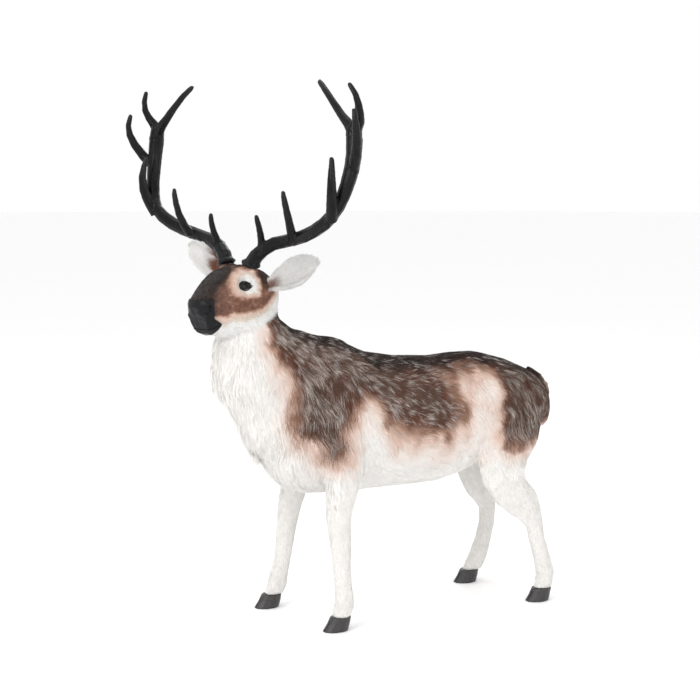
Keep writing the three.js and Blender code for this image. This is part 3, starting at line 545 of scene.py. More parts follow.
def body_dye(points):
    """The colour of the body at each point, and the share of pale locks."""
    places = side_places(points)
    ragged = 9 * ripple(points, 30 * MM, 11) + 5 * ripple(points, 11 * MM, 12)
    inside = distance_inside(places, SADDLE) + ragged
    line = np.array(SPINE_LINE, float)
    over = places[:, 2] - np.interp(places[:, 1], line[:, 0], line[:, 1]) + ragged
    blot = ripple(points * [1, 1, 0.45], 26 * MM, 13)
    steps = [(-62, "white"), (-34, "blush"), (-16, "peach"), (-3, "tan"), (11, "sienna"), (28, "brown")]
    soft = 1 - 0.4 * smoothstep(-60, 0, places[:, 1]) * smoothstep(300, 250, places[:, 1])
    colour = ramped(inside * soft + 12 * blot, steps)
    warm = smoothstep(-0.2, 0.9, ripple(points * [1, 1, 0.6], 34 * MM, 14)) * smoothstep(0, 14, inside)
    colour += (DYES["sienna"] - colour) * (0.55 * warm)[:, None]
    dark = smoothstep(-22, 14, over) * smoothstep(-4, 14, inside)
    colour += (DYES["black"] - colour) * (0.85 * dark)[:, None]
    shoulder = smoothstep(0, -90, places[:, 1]) * smoothstep(6, 30, inside)
    rump = smoothstep(320, 360, places[:, 1]) * smoothstep(4, 20, inside)
    flank = smoothstep(80, 10, inside) * (1 - dark)
    pale = 0.07 + 0.08 * (1 - dark) + 0.2 * flank + 0.17 * np.maximum(shoulder, rump) * (1 - 0.6 * dark)
    pale *= smoothstep(-4, 12, inside)
    return colour, pale


def head_dye(points):
    """The brown mask, the white eye patch with its peach edge, and the white cheek and throat."""
    places = head_places(points)
    places += np.column_stack([3.5 * ripple(points, 11 * MM, seed) for seed in (21, 22, 23)])
    out, y, z = places.T
    mottle = ripple(points, 9 * MM, 24)[:, None]
    fleck = smoothstep(0.2, 0.8, ripple(points, 6 * MM, 25))[:, None]
    side = DYES["rust"] + (DYES["sienna"] - DYES["rust"]) * (0.6 + 0.4 * mottle)
    side += (DYES["tan"] - side) * (0.22 + 0.3 * fleck)
    back = smoothstep(-70, -20, y)[:, None]
    top = DYES["black"] * (1 - back) + DYES["umber"] * back
    top += (DYES["umber"] - top) * (0.35 + 0.35 * mottle)
    high = np.maximum(smoothstep(50, 30, out), smoothstep(-8, 14, y) * smoothstep(850, 880, z))[:, None]
    colour = side * (1 - high) + top * high
    outside = -distance_inside(places, EYE_PATCH)
    ahead = smoothstep(-40, -60, y) * smoothstep(828, 850, z) * smoothstep(30, 40, out)
    t = np.clip((outside + 5) / (16 + 24 * ahead), -0.4, 1)
    halo = ramped(t, [(-0.35, "white"), (-0.05, "cream"), (0.2, "peach"), (0.55, "tan"), (1, "sienna")])
    share = smoothstep(1.0, 0.45, t)[:, None]
    colour = colour * (1 - share) + halo * share
    edge = np.array(MASK_EDGE, float)
    nape = smoothstep(58, 40, out) * smoothstep(25, 60, y)
    below = np.interp(y, edge[:, 0], edge[:, 1]) - z - 130 * nape
    pale = ramped(below, [(-6, "sienna"), (-1, "tan"), (5, "peach"), (14, "cream"), (26, "white")])
    share = smoothstep(-8, -1, below)[:, None]
    return colour * (1 - share) + pale * share


# ------------------------------------------------------------------ hair


class Surface:
    """A skin that hair can be planted on."""

    def __init__(self, obj):
        self.points, self.triangles = arrays_of(obj.data)
        self.normals = normals_of(self.points, self.triangles)
        a, b, c = (self.points[self.triangles[:, i]] for i in range(3))
        self.areas = np.linalg.norm(np.cross(b - a, c - a), axis=1) / 2
        self.middles = (a + b + c) / 3
        self.nearby = Nearby(self.points, self.normals)

    def planted(self, count, wanted, rng):
        """Evenly scattered roots and their normals, on the triangles that wanted() keeps."""
        keep = np.nonzero(wanted(self.middles))[0]
        share = np.cumsum(self.areas[keep])
        pick = keep[np.searchsorted(share, rng.random(count) * share[-1])]
        u, v = rng.random(count), rng.random(count)
        flip = u + v > 1
        u[flip], v[flip] = 1 - u[flip], 1 - v[flip]
        weights = np.column_stack([1 - u - v, u, v])[:, :, None]
        corners = self.triangles[pick]
        root = (self.points[corners] * weights).sum(1)
        normal = unit((self.normals[corners] * weights).sum(1))
        return root, normal


class Nearby:
    """The skin's nearest patch for places close to it, so that hair can follow its curves."""

    CELL = 8 * MM
    MARGIN = 7  # cells

    def __init__(self, points, normals):
        self.low = points.min(0) - self.MARGIN * self.CELL
        shape = np.ceil((points.max(0) - self.low) / self.CELL).astype(int) + self.MARGIN
        self.shape = tuple(shape)
        flat = self._cells(points)
        values = np.column_stack([np.ones(len(points)), points, normals])
        size = int(np.prod(shape))
        grid = np.stack([np.bincount(flat, column, size) for column in values.T], axis=1)
        grid = grid.reshape(*shape, 7)
        for _ in range(self.MARGIN - 2):
            spread = grid.copy()
            for axis in range(3):
                for step in (1, -1):
                    spread += np.roll(grid, step, axis)
            grid = np.where(grid[..., :1] > 0, grid, spread)
        self.grid = grid.reshape(-1, 7)

    def _cells(self, points):
        cell = ((points - self.low) / self.CELL).astype(int)
        cell = np.clip(cell, 0, np.array(self.shape) - 1)
        return np.ravel_multi_index(tuple(cell.T), self.shape)

    def settled(self, points, height, share):
        """Points moved along the nearest patch's normal to stand at this height above it."""
        found = self.grid[self._cells(points)]
        near = found[:, 0] > 0
        patch = found[:, 1:4] / np.maximum(found[:, :1], 1)
        normal = unit(found[:, 4:])
        off = ((points - patch) * normal).sum(1) - height
        off = np.clip(off, -12 * MM, 30 * MM) * near * share
        return points - normal * off[:, None]


def tuft_centres(points, size, seed):
    """A jittered point near each root that all the hair of its tuft leans to, and a number."""
    cell = np.floor(points / size)
    jitter = np.column_stack([hashed(cell, seed + i) for i in range(3)])
    return (cell + 0.15 + 0.7 * jitter) * size, hashed(cell, seed + 5)


def hair_mesh(centres, sides, colours):
    """Tapered ribbons. centres and sides are (hair, level, 3); the last level is the tip."""
    count, levels, _ = centres.shape
    per = 2 * levels - 1
    points = np.empty((count, per, 3), np.float32)
    dyes = np.empty((count, per, 3), np.float32)
    for level in range(levels - 1):
        points[:, 2 * level] = centres[:, level] - sides[:, level]
        points[:, 2 * level + 1] = centres[:, level] + sides[:, level]
        dyes[:, 2 * level] = dyes[:, 2 * level + 1] = colours[:, level]
    points[:, -1] = centres[:, -1]
    dyes[:, -1] = colours[:, -1]
    pattern, starts = [], []
    for level in range(levels - 2):
        starts.append(len(pattern))
        k = 2 * level
        pattern += [k, k + 1, k + 3, k + 2]
    starts.append(len(pattern))
    k = 2 * (levels - 2)
    pattern += [k, k + 1, k + 2]
    loops = (np.arange(count)[:, None] * per + np.array(pattern)).ravel()
    begins = (np.arange(count)[:, None] * len(pattern) + np.array(starts)).ravel()
    mesh = bpy.data.meshes.new("hair")
    mesh.vertices.add(count * per)
    mesh.loops.add(len(loops))
    mesh.polygons.add(len(begins))
    mesh.vertices.foreach_set("co", points.ravel())
    mesh.loops.foreach_set("vertex_index", loops.astype(np.int32))
    mesh.polygons.foreach_set("loop_start", begins.astype(np.int32))
    mesh.update(calc_edges=True)
    paint(mesh, dyes.reshape(-1, 3))
    grid = math.ceil(math.sqrt(count))
    cell = np.stack([np.arange(count) % grid, np.arange(count) // grid], axis=1)[:, None, :]
    across = np.where(np.arange(per) % 2, 0.75, 0.25)
    across[-1] = 0.5
    along = 0.12 + 0.76 * (np.arange(per) // 2) / (levels - 1)
    uv = (cell + np.stack([across, along], axis=1)[None]) / grid
    layer = mesh.uv_layers.new(name="OFBake")
    layer.uv.foreach_set("vector", uv.reshape(-1, 2)[loops].astype(np.float32).ravel())
    return mesh


FRIZZ = 0.12  # how unevenly the hairs are combed
LOWEST_HAIR = 2 * MM  # above the floor


def grow(root, normal, way, length, lift, rng, **look):
    """Hair from each root, as middle lines and half widths.

    look: levels, width, tuft, gather, wave, wave_size, droop, and the skin that the hair
    follows and how closely.
    """
    count = len(root)
    way = way + FRIZZ * rng.normal(size=(count, 3))
    way = unit(way - (way * normal).sum(1, keepdims=True) * normal)
    swirl = look.get("wave", 0.0) * ripple(root, look.get("wave_size", 26 * MM), 31)
    across = np.cross(normal, way)
    way = unit(way + across * swirl[:, None])
    across = np.cross(normal, way)
    length = length * (0.72 + 0.4 * rng.random(count))
    lift = lift * (0.35 + 1.1 * rng.random(count))
    centre, _ = tuft_centres(root, look["tuft"], 41)
    pull = centre - root
    pull -= (pull * normal).sum(1, keepdims=True) * normal
    turn = rng.normal(0, 0.45, count)
    edge = across * np.cos(turn)[:, None] + normal * np.sin(turn)[:, None]
    levels = look["levels"]
    centres = np.empty((count, levels, 3))
    sides = np.empty((count, levels, 3))
    thick = look["width"] * (0.6 + 0.8 * rng.random(count))[:, None]
    down = np.array([0, 0, -1.0])
    for level in range(levels):
        t = level / (levels - 1)
        rise = lift * length * t * (1.6 - 0.85 * t)
        centres[:, level] = (
            root
            + way * (length * t)[:, None]
            + normal * rise[:, None]
            + pull * look["gather"] * t**1.2
            + down * (look.get("droop", 0.0) * length * t * t)[:, None]
        )
        if level and "skin" in look:
            centres[:, level] = look["skin"].settled(centres[:, level], rise, look.get("follow", 1.0))
        sides[:, level] = edge * thick * (0.5 - 0.28 * t)
    centres -= (normal * 0.8 * MM)[:, None, :] * np.linspace(1, 0, levels)[None, :, None]
    centres[..., 2] = np.maximum(centres[..., 2], LOWEST_HAIR)
    return centres, sides


def tipped(base, tip, levels, start=0.3):
    """Colours along each hair, from base at the root to tip at the end."""
    t = smoothstep(start, 0.85, np.linspace(0, 1, levels))[None, :, None]
    return base[:, None, :] * (1 - t) + tip[:, None, :] * t


def body_hair_colours(root, way, length, levels, rng):
    """Grizzled colours: each tuft is dark or pale, and shows where its outer end lies. The roots of brown
    hair are darkened as painted shade.
    """
    shown = root + way * (length * 0.6)[:, None]
    centre, number = tuft_centres(shown, 9 * MM, 71)
    colour, pale = body_dye(shown * 0.35 + centre * 0.65)
    _, fine = tuft_centres(shown, 5 * MM, 77)
    light = (0.55 * number + 0.45 * fine) > 0.84 - 0.62 * pale
    light &= pale > 0.02
    frost = DYES["frost"] * (0.3 + 0.6 * rng.random((len(root), 1)) ** 1.3)
    tip = np.where(light[:, None], frost, colour)
    shade = 1 + 0.5 * (number - 0.5) + 0.4 * (fine - 0.5) + 0.16 * rng.normal(size=len(root))
    brown = 0.05 + 0.95 * smoothstep(0.7, 0.3, colour.mean(1))
    tip = tip * (1 + (shade - 1) * brown)[:, None] * (1 - 0.06 * rng.random((len(root), 1)))
    # painted shade: the roots of brown hair are darkened by up to 0.4, as if shadowed by the pile
    base = colour * (1 - 0.4 * brown)[:, None]
    return np.clip(tipped(base, tip, levels, 0.15), 0.004, 0.96)


def plain_hair_colours(colour, levels, rng, spread=0.1):
    shade = 1 + spread * rng.normal(size=(len(colour), 1))
    tip = np.clip(colour * shade, 0.004, 0.96)
    # painted shade: each hair's root is a tenth darker than its tip
    return tipped(tip * 0.9, tip, levels)


# ------------------------------------------------------------------ finishes


def pile_finish(name):
    """Faux-fur fibre: the dye of each hair, a little uneven, with a soft sheen."""
    f = Finish(name)
    uneven = f.between(0.3, 0.7, f.noise(60, 3))
    shade = f.mixed(uneven, (0.5, 0.48, 0.46, 1), (1, 1, 1, 1))
    colour = f.mixed(0.16, f.attribute("dye"), shade, "MULTIPLY")
    return f.finish(
        Base_Color=colour,
        Roughness=0.6,
        Specular_IOR_Level=0.14,
        Sheen_Weight=0.04,
        Sheen_Roughness=0.5,
    )


def backing_finish():
    """Knitted backing under the pile, dyed like it, with the dye darkened as painted shade under the hair."""
    f = Finish("knitted_backing")
    knit = f.noise(700, 2, stretch=(1, 1, 2.5))
    shade = f.mixed(knit, (0.55, 0.53, 0.5, 1), (1, 1, 1, 1))
    colour = f.mixed(0.35, f.attribute("dye"), shade, "MULTIPLY")
    return f.finish(Base_Color=colour, Roughness=0.95, Normal=f.bump(knit, 0.0008), Sheen_Weight=0.3)


def antler_finish(dark, worn):
    """Near-black resin with paler worn ridges and tips and a satin lacquer."""
    f = Finish("antler_resin")
    ridge = f.attribute("ridge", 2)
    grain = f.noise(260, 5, 0.65)
    blotch = f.noise(22, 3)
    wear = f.between(0.55, 1.15, ridge * 0.6 + grain * 0.3 + blotch * 0.45)
    colour = f.mixed(wear * 0.5, rgba(dark), rgba(worn))
    rough = 0.16 + 0.1 * grain + 0.14 * blotch
    return f.finish(
        Base_Color=colour, Roughness=rough, Specular_IOR_Level=0.14, Normal=f.bump(grain, 0.0003, 0.5)
    )


def hoof_finish():
    f = Finish("hoof_resin")
    rings = f.noise(120, 3, stretch=(1, 1, 5))
    grain = f.noise(420, 4)
    colour = f.mixed(rings, (0.012, 0.011, 0.012, 1), (0.05, 0.046, 0.045, 1))
    return f.finish(Base_Color=colour, Roughness=0.3 + 0.25 * grain, Normal=f.bump(rings, 0.0008, 0.7))


def leather_finish(name, tone):
    """Moulded rubber with a fine pebbled grain."""
    f = Finish(name)
    pebble = f.node("ShaderNodeTexVoronoi", Vector=f.place(), Scale=620.0)
    broad = f.noise(70, 4)
    colour = f.mixed(broad, rgba(tone), rgba([c * 1.8 + 0.002 for c in tone]))
    return f.finish(
        Base_Color=colour,
        Roughness=0.22 + 0.2 * broad,
        Specular_IOR_Level=0.14,
        Normal=f.bump(pebble + broad * 0.5, 0.0003, 0.5),
    )


def eye_finish():
    """Glass eye: a nearly black ball with a faint brown ring under clear glass."""
    f = Finish("eye_glass_look")
    ring = f.attribute("iris", 2)
    streak = f.noise(500, 3)
    colour = f.mixed(ring * (0.3 + 0.5 * streak), (0.002, 0.002, 0.002, 1), (0.018, 0.009, 0.005, 1))
    return f.finish(
        Base_Color=colour, Roughness=0.04, Specular_IOR_Level=0.2, Coat_Weight=0.1, Coat_Roughness=0.02
    )


def steel_finish():
    f = Finish("frame_steel_look")
    brushed = f.noise(90, 4, stretch=(1, 12, 12))
    colour = f.mixed(brushed, (0.3, 0.31, 0.33, 1), (0.55, 0.56, 0.58, 1))
    return f.finish(
        Base_Color=colour, Metallic=1.0, Roughness=0.28 + 0.3 * brushed, Normal=f.bump(brushed, 0.0002)
    )


def foam_finish():
    f = Finish("carved_foam")
    cells = f.node("ShaderNodeTexVoronoi", Vector=f.place(), Scale=380.0)
    stain = f.noise(14, 3)
    colour = f.mixed(stain, (0.66, 0.58, 0.36, 1), (0.8, 0.74, 0.55, 1))
    return f.finish(Base_Color=colour, Roughness=0.92, Normal=f.bump(cells, 0.0008))


def plastic_finish():
    f = Finish("socket_plastic_look")
    grain = f.noise(300, 3)
    colour = f.mixed(grain, (0.02, 0.02, 0.022, 1), (0.045, 0.045, 0.05, 1))
    return f.finish(Base_Color=colour, Roughness=0.5 + 0.15 * grain, Normal=f.bump(grain, 0.0002))


def floor_finish(tone):
    f = Finish("studio_floor")
    wash = f.noise(0.8, 2)
    colour = f.mixed(wash, rgba([c * 0.985 for c in tone]), rgba(tone))
    return f.finish(Base_Color=colour, Roughness=0.8, Specular_IOR_Level=0.1)


# ------------------------------------------------------------------ settings


def size_setting(name, description, default):
    return bpy.props.FloatProperty(name=name, description=description, default=default, unit="LENGTH")


def colour_setting(name, description, default):
    return bpy.props.FloatVectorProperty(
        name=name, description=description, default=default, subtype="COLOR"
    )


class CoatSettings(bpy.types.PropertyGroup):
    """The fur's length, the width of its locks and the skin's detail."""

    length: bpy.props.FloatProperty(
        name="Hair length", description="Length of the hair, as a share of the plan", default=1.0,
        subtype="FACTOR",
    )
    body_width: size_setting("Body fibre", "Width of a lock of body hair", 1.25 * MM)
    short_width: size_setting("Short fibre", "Width of a lock of face and leg hair", 0.85 * MM)
    voxel: size_setting("Skin detail", "Spacing of the skin's mesh", 5 * MM)


class AntlerSettings(bpy.types.PropertyGroup):
    """The antlers' relief and colours."""

    groove: size_setting("Groove depth", "Depth of the long grooves", 1.1 * MM)
    dark: colour_setting("Resin", "Colour in the grooves", (0.0035, 0.0035, 0.004))
    worn: colour_setting("Worn resin", "Colour on ridges and tips", (0.03, 0.03, 0.031))


class FaceSettings(bpy.types.PropertyGroup):
    """The moulded parts of the face."""

    leather: colour_setting("Muzzle", "Colour of the moulded muzzle", (0.005, 0.005, 0.006))
    nostril: size_setting("Nostril depth", "How deep the nostrils are pressed", 8.5 * MM)


class StageSettings(bpy.types.PropertyGroup):
    """The studio."""

    floor: colour_setting("Floor", "Colour of the floor and backdrop", (0.97, 0.97, 0.97))
    lens: bpy.props.FloatProperty(
        name="Lens", description="Focal length of the camera in mm", default=82.29, unit="CAMERA"
    )


# ------------------------------------------------------------------ skin and coat

BODY_COVERS = ["torso_fur", "mane_fur", "head_fur"] + [
    f"leg_fur_{leg}" for leg in ("front_left", "front_right", "hind_left", "hind_right")
]
FILLERS = ("leg_rod", "eye", "muzzle", "lower_lip", "antler_socket")
FILLED = [
    n for n in frame["nodes"]
    if n in BODY_COVERS or "form" in n or n.startswith(FILLERS)
]
# Where the covers are sewn together, as in the part's source: each seam is a place and a way.
SEAM_HEIGHT = {"front": 312 * MM, "hind": 345 * MM}
HEAD_SEAM = (np.array([0, -358.6, 774]) * MM, np.array([0, -0.489, 0.871]))
NECK_SEAM = (np.array([0, -213.6, 630]) * MM, np.array([0, -0.65, 0.76]))


def past(points, seam):
    return (points - seam[0]) @ seam[1]


def region_of(points):
    """For each point: 0 torso, 1 neck, 2 head, 3 to 6 the legs."""
    region = np.zeros(len(points), int)
    region[past(points, NECK_SEAM) > 0] = 1
    region[past(points, HEAD_SEAM) > 0] = 2
    for number, (name, forward) in enumerate(
        [("front_left", True), ("front_right", True), ("hind_left", False), ("hind_right", False)], 3
    ):
        low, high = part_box(f"leg_fur_{name}")
        near = (points[:, 1] > low.y - 0.03) & (points[:, 1] < high.y + 0.03)
        near &= (points[:, 0] > MIDDLE_X) == name.endswith("left")
        near &= points[:, 2] < SEAM_HEIGHT["front" if forward else "hind"]
        region[near & (region == 0)] = number
    return region


def coat_depth(points):
    """How far the skin lies under the outline, for the hair to fill."""
    _, length, _ = lay_of(points, False)
    depth = np.clip(length * 0.15, 1.0 * MM, 8 * MM)
    withers = smoothstep(90, 30, np.hypot(points[:, 1] / MM + 160, points[:, 2] / MM - 715))
    depth *= 1 - 0.8 * withers
    head = smoothstep(-25 * MM, 25 * MM, past(points, HEAD_SEAM))
    return depth * (1 - head) + (1.6 + 4.2 * on_muzzle(to_head(points), -1)) * MM * head


def skin_dye(points):
    colour, _ = body_dye(points)
    head = smoothstep(-6 * MM, 6 * MM, past(points, HEAD_SEAM))[:, None]
    nose = on_muzzle(to_head(points), 1)[:, None] * head
    return (colour * (1 - head) + head_dye(points) * head) * (1 - nose) + DYES["black"] * nose


def kept_outside(points, names, gap):
    """Moves points out to stand at least this gap clear of the CAD nodes."""
    mesh = joined_nodes(names)
    tree = BVHTree.FromPolygons(*[part.tolist() for part in arrays_of(mesh)])
    bpy.data.meshes.remove(mesh)
    for i, point in enumerate(points):
        place, normal, _, _ = tree.find_nearest(point)
        if (Vector(point) - place) @ normal < gap:
            points[i] = place + normal * gap
    return points


def build_skin(voxel):
    mesh = remeshed_nodes(FILLED, voxel, 70)
    points, triangles = arrays_of(mesh)
    points = points - normals_of(points, triangles) * coat_depth(points)[:, None]
    forms = [name for name in frame["nodes"] if "form" in name or name.startswith("antler_socket")]
    points = kept_outside(points, forms, 1.5 * MM)
    put_points(mesh, points)
    # painted shade: the backing under the pile gets the coat's colour darkened to 0.8
    paint(mesh, skin_dye(points) * 0.8)
    skin = new_object("fur_backing", mesh, backing_finish())
    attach(skin, "body")
    return skin


def eye_window(local, margin=1.12):
    """True inside the almond opening of the nearer eye, for points in the head's frame."""
    side = np.where(local[:, 0] >= 0, 1, -1)
    inside = np.zeros(len(local), bool)
    for sign in (1, -1):
        centre, _, rear, up = eye_axes(sign)
        offset = from_head(local) - centre
        x, y = offset @ rear, offset @ up
        wide = np.where(x > 0, OPENING[1], OPENING[0]) * margin
        inside |= (side == sign) & (np.abs(offset @ rear) < 2 * EYE_RADIUS) & (
            (np.abs(x) / wide) ** 1.6 + (np.abs(y) / (OPENING[2] * margin)) ** 2 < 1
        )
    return inside


def on_muzzle(local, margin=0.0):
    """True on the bare moulded muzzle and chin."""
    y, z = local[:, 1] / MM, local[:, 2] / MM
    upper = (y < MUZZLE_REAR - margin) & (z < MUZZLE_TOP - margin) & (z > 760)
    corner = (0.51 * (y - MUZZLE_REAR) + 0.86 * (z - 794) < -margin) & (y < -93 - margin) & (z < 796)
    return (upper | corner) & (y + 0.55 * (781 - z) < -91 - margin)


def add_pile(name, mesh, replaced, slot):
    pile = new_object(name, mesh, PILES[slot])
    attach(pile, "body")
    if replaced:
        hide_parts(*replaced)
    return pile


PILES = {}


def body_pile(surface, name, count, wanted, replaced, slot, seed, settings, **look):
    rng = np.random.default_rng(seed)
    root, normal = surface.planted(count, wanted, rng)
    way, length, lift = lay_of(root, False)
    length = length * settings.length
    plan = {"levels": 3, "width": settings.body_width, "tuft": 8 * MM, "gather": 0.75, "wave": 0.7}
    plan.update(look, skin=surface.nearby)
    centres, sides = grow(root, normal, way, length, lift, rng, **plan)
    colours = body_hair_colours(root, way, length, plan["levels"], rng)
    return add_pile(name, hair_mesh(centres, sides, colours), replaced, slot)


def build_coat(surface, settings):
    region = region_of(surface.middles)

    def wanted(number, extra=None):
        mask = region == number
        if extra is not None:
            mask &= extra(surface.middles)
        return lambda _: mask

    middle_y = 60 * MM
    for side_name, side in (("left", 1), ("right", -1)):
        for part, back in (("fore", False), ("hind", True)):
            def extra(p, side=side, back=back):
                return ((p[:, 0] - MIDDLE_X) * side > 0) & ((p[:, 1] > middle_y) == back)
            replaced = ["torso_fur"] if (side > 0 and not back) else []
            body_pile(surface, f"pile_torso_{part}_{side_name}", 62000, wanted(0, extra), replaced,
                      "dark_fur", 100 + side + 2 * back, settings)
        def half(p, side=side):
            return (p[:, 0] - MIDDLE_X) * side > 0
        replaced = ["mane_fur"] if side > 0 else []
        body_pile(surface, f"pile_mane_{side_name}", 64000, wanted(1, half), replaced,
                  "white_fur", 110 + side, settings, tuft=9 * MM, wave=0.35, follow=0.75)
    for number, leg in enumerate(("front_left", "front_right", "hind_left", "hind_right"), 3):
        body_pile(surface, f"pile_leg_{leg}", 42000, wanted(number), [f"leg_fur_{leg}"],
                  "white_fur", 120 + number, settings, width=settings.short_width * 1.1,
                  tuft=5 * MM, gather=0.5, wave=0.15)


def build_head_pile(surface, settings):
    rng = np.random.default_rng(131)
    local = to_head(surface.middles)
    bare = on_muzzle(local, 2) | eye_window(local)
    near_burr = np.linalg.norm(np.abs(local) - BURR_IN_HEAD, axis=1) < 19 * MM
    mask = (region_of(surface.middles) == 2) & ~bare & ~near_burr
    root, normal = surface.planted(66000, lambda _: mask, rng)
    keep = ~(on_muzzle(to_head(root), 1) | eye_window(to_head(root)))
    root, normal = root[keep], normal[keep]
    way, length, lift = lay_of(root, True)
    near_eye = to_head(root)
    near_eye = near_eye - np.sign(near_eye[:, :1]) * EYE_IN_HEAD * [1, 0, 0] - EYE_IN_HEAD * [0, 1, 1]
    gap = np.linalg.norm(near_eye, axis=1)
    away = unit(near_eye) @ HEAD_TURN.T
    share = smoothstep(34 * MM, 17 * MM, gap)[:, None]
    way = unit(way * (1 - share) + away * share)
    length = length * settings.length * (1 - 0.35 * share[:, 0])
    centres, sides = grow(
        root, normal, way, length, lift, rng,
        levels=3, width=settings.short_width, tuft=4.5 * MM, gather=0.4, wave=0.3, wave_size=18 * MM,
        skin=surface.nearby,
    )
    colours = plain_hair_colours(head_dye(root + way * length[:, None] * 0.4), 3, rng, 0.14)
    _, number = tuft_centres(root + way * length[:, None] * 0.8, 4.5 * MM, 133)
    brown = smoothstep(0.6, 0.2, colours[:, -1].mean(1))
    colours *= (1 + brown * (number - 0.45) * 0.9)[:, None, None]
    add_pile("pile_head", hair_mesh(centres, sides, colours), ["head_fur"], "dark_fur")


# ------------------------------------------------------------------ ears and tail


def fluffy_part(name, node, slot, voxel, count, dye, seed, inset=0.0, **look):
    """A soft part with its own skin and hair. look: way, length, lift, and what grow() takes."""
    mesh = remeshed_nodes([node], voxel, 12)
    points, triangles = arrays_of(mesh)
    low, high = points.min(0), points.max(0)
    points = points - normals_of(points, triangles) * inset
    points[:, 1] -= 3.5 * inset * smoothstep(0.3, 1.0, (high[2] - points[:, 2]) / (high[2] - low[2]))
    put_points(mesh, points)
    # painted shade: the skin under the hair gets its colour darkened to 0.85
    paint(mesh, dye(points) * 0.85)
    skin = new_object(name, mesh, backing_finish())
    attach(skin, "body")
    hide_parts(node)
    rng = np.random.default_rng(seed)
    surface = Surface(skin)
    root, normal = surface.planted(count, lambda p: np.ones(len(p), bool), rng)
    way = look.pop("way")(root, normal)
    length = look.pop("length")(root)
    lift = np.full(count, look.pop("lift"))
    centres, sides = grow(root, normal, way, length, lift, rng, skin=surface.nearby, follow=0.6, **look)
    colours = plain_hair_colours(dye(root + way * length[:, None] * 0.5), look["levels"], rng, 0.1)
    pile = new_object(f"{name}_pile", hair_mesh(centres, sides, colours), PILES[slot])
    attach(pile, "body")


def build_ear(name, side):
    root_end = middle_of(f"eye_{name}")
    points, _ = arrays_of(frame["nodes"][f"ear_{name}"].data)
    far = points[np.argmax(np.linalg.norm(points - root_end, axis=1))]
    near = points[np.argsort(np.linalg.norm(points - far, axis=1))[-12:]].mean(0)
    along = unit(far - near)
    span = np.linalg.norm(far - near)
    face = unit(HEAD_TURN @ np.array([0, -1, 0.1]))
    face = unit(face - (face @ along) * along)
    across = unit(np.cross(face, along))
    across = across * np.sign(across[2])

    def dye(p):
        t = np.clip(((p - near) @ along) / span, 0, 1)
        axis = near + along * (t * span)[:, None]
        behind = -((p - axis) @ face)
        reach = 0.62 if side < 0 else 0.2
        rim = ((p - axis) @ across) / (26 * MM) if side < 0 else -1
        tan_share = smoothstep(1 * MM, 7 * MM, behind + 2 * MM * ripple(p, 9 * MM, 51))
        tan_share = np.maximum(tan_share, smoothstep(0.6, 0.85, rim + 0.1 * ripple(p, 9 * MM, 52)))
        tan_share *= smoothstep(reach + 0.15, reach - 0.15, t)
        colour = DYES["white"] * (1 - tan_share)[:, None] + DYES["sienna"] * 1.3 * tan_share[:, None]
        blush = smoothstep(0.16, 0.0, t)[:, None]
        return colour * (1 - 0.5 * blush) + DYES["peach"] * 0.5 * blush

    def way(root, normal):
        t = ((root - near) @ along)[:, None]
        spread = root - near - along * t
        return unit(along * 0.9 + unit(spread) * 0.45)

    def length(root):
        t = np.clip(((root - near) @ along) / span, 0, 1)
        return (17 - 5 * t) * MM

    fluffy_part(
        f"ear_{name}_cover", f"ear_{name}", "white_fur", 2.5 * MM, 26000, dye, 140 + side,
        way=way, length=length, lift=0.26, levels=3, width=0.9 * MM, tuft=6 * MM, gather=0.7, wave=0.4,
    )


def build_tail():
    low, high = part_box("tail")

    def dye(p):
        shown = (p[:, 1] - low.y) / (high.y - low.y)
        drop = (high.z - p[:, 2]) / (high.z - low.z)
        streak = ripple(p * [1, 1, 0.3], 9 * MM, 61)
        colour = ramped(drop + 0.22 * streak, [(0, "umber"), (0.45, "brown"), (0.8, "sienna"), (1, "tan")])
        fringe = smoothstep(0.5, 0.9, shown + 0.25 * streak) * smoothstep(0.55, 0.15, drop)
        return colour * (1 - 0.75 * fringe)[:, None] + DYES["cream"] * 0.75 * fringe[:, None]

    def way(root, normal):
        return unit(np.array([0, -0.05, -1.0]) + 0 * root)

    fluffy_part(
        "tail_cover", "tail", "dark_fur", 4 * MM, 14000, dye, 151,
        way=way, length=lambda root: np.full(len(root), 22 * MM), lift=0.05, inset=8 * MM,
        levels=4, width=1.3 * MM, tuft=8 * MM, gather=0.6, wave=0.3, droop=0.05,
    )


# ------------------------------------------------------------------ antlers

PEDICLE_LEAN = math.radians(19)  # outward

# Middle line of the beam and of each tine from the burr, in mm: outward, forward, up.
BEAM = [
    (0, 0, 0), (24, -7, 29), (68, -13, 51), (118, -17, 60), (178, -12, 74), (232, -6, 95), (274, -4, 122),
    (296, -11, 155), (308, -19, 190), (314, -27, 225), (316, -33, 262), (314, -37, 300), (311, -38, 326),
]
TINES = [
    [(33, -6, 34), (38, 0, 60), (41, 8, 84), (39, 14, 106), (37, 16, 118)],
    [(142, -6, 62), (152, 12, 94), (156, 26, 128), (155, 34, 160), (154, 36, 177)],
    [(276, -2, 112), (292, 12, 146), (300, 21, 186), (299, 20, 222), (294, 15, 246), (292, 14, 255)],
    [(318, -30, 232), (346, -12, 264), (363, 4, 298), (368, 13, 328), (363, 11, 353), (360, 10, 363)],
    [(312, -40, 318), (328, -40, 340), (339, -27, 362), (341, -19, 388), (328, -14, 412), (322, -12, 421)],
    [(316, -38, 308), (292, -37, 336), (262, -38, 362), (226, -42, 398), (194, -50, 424), (184, -52, 432)],
]


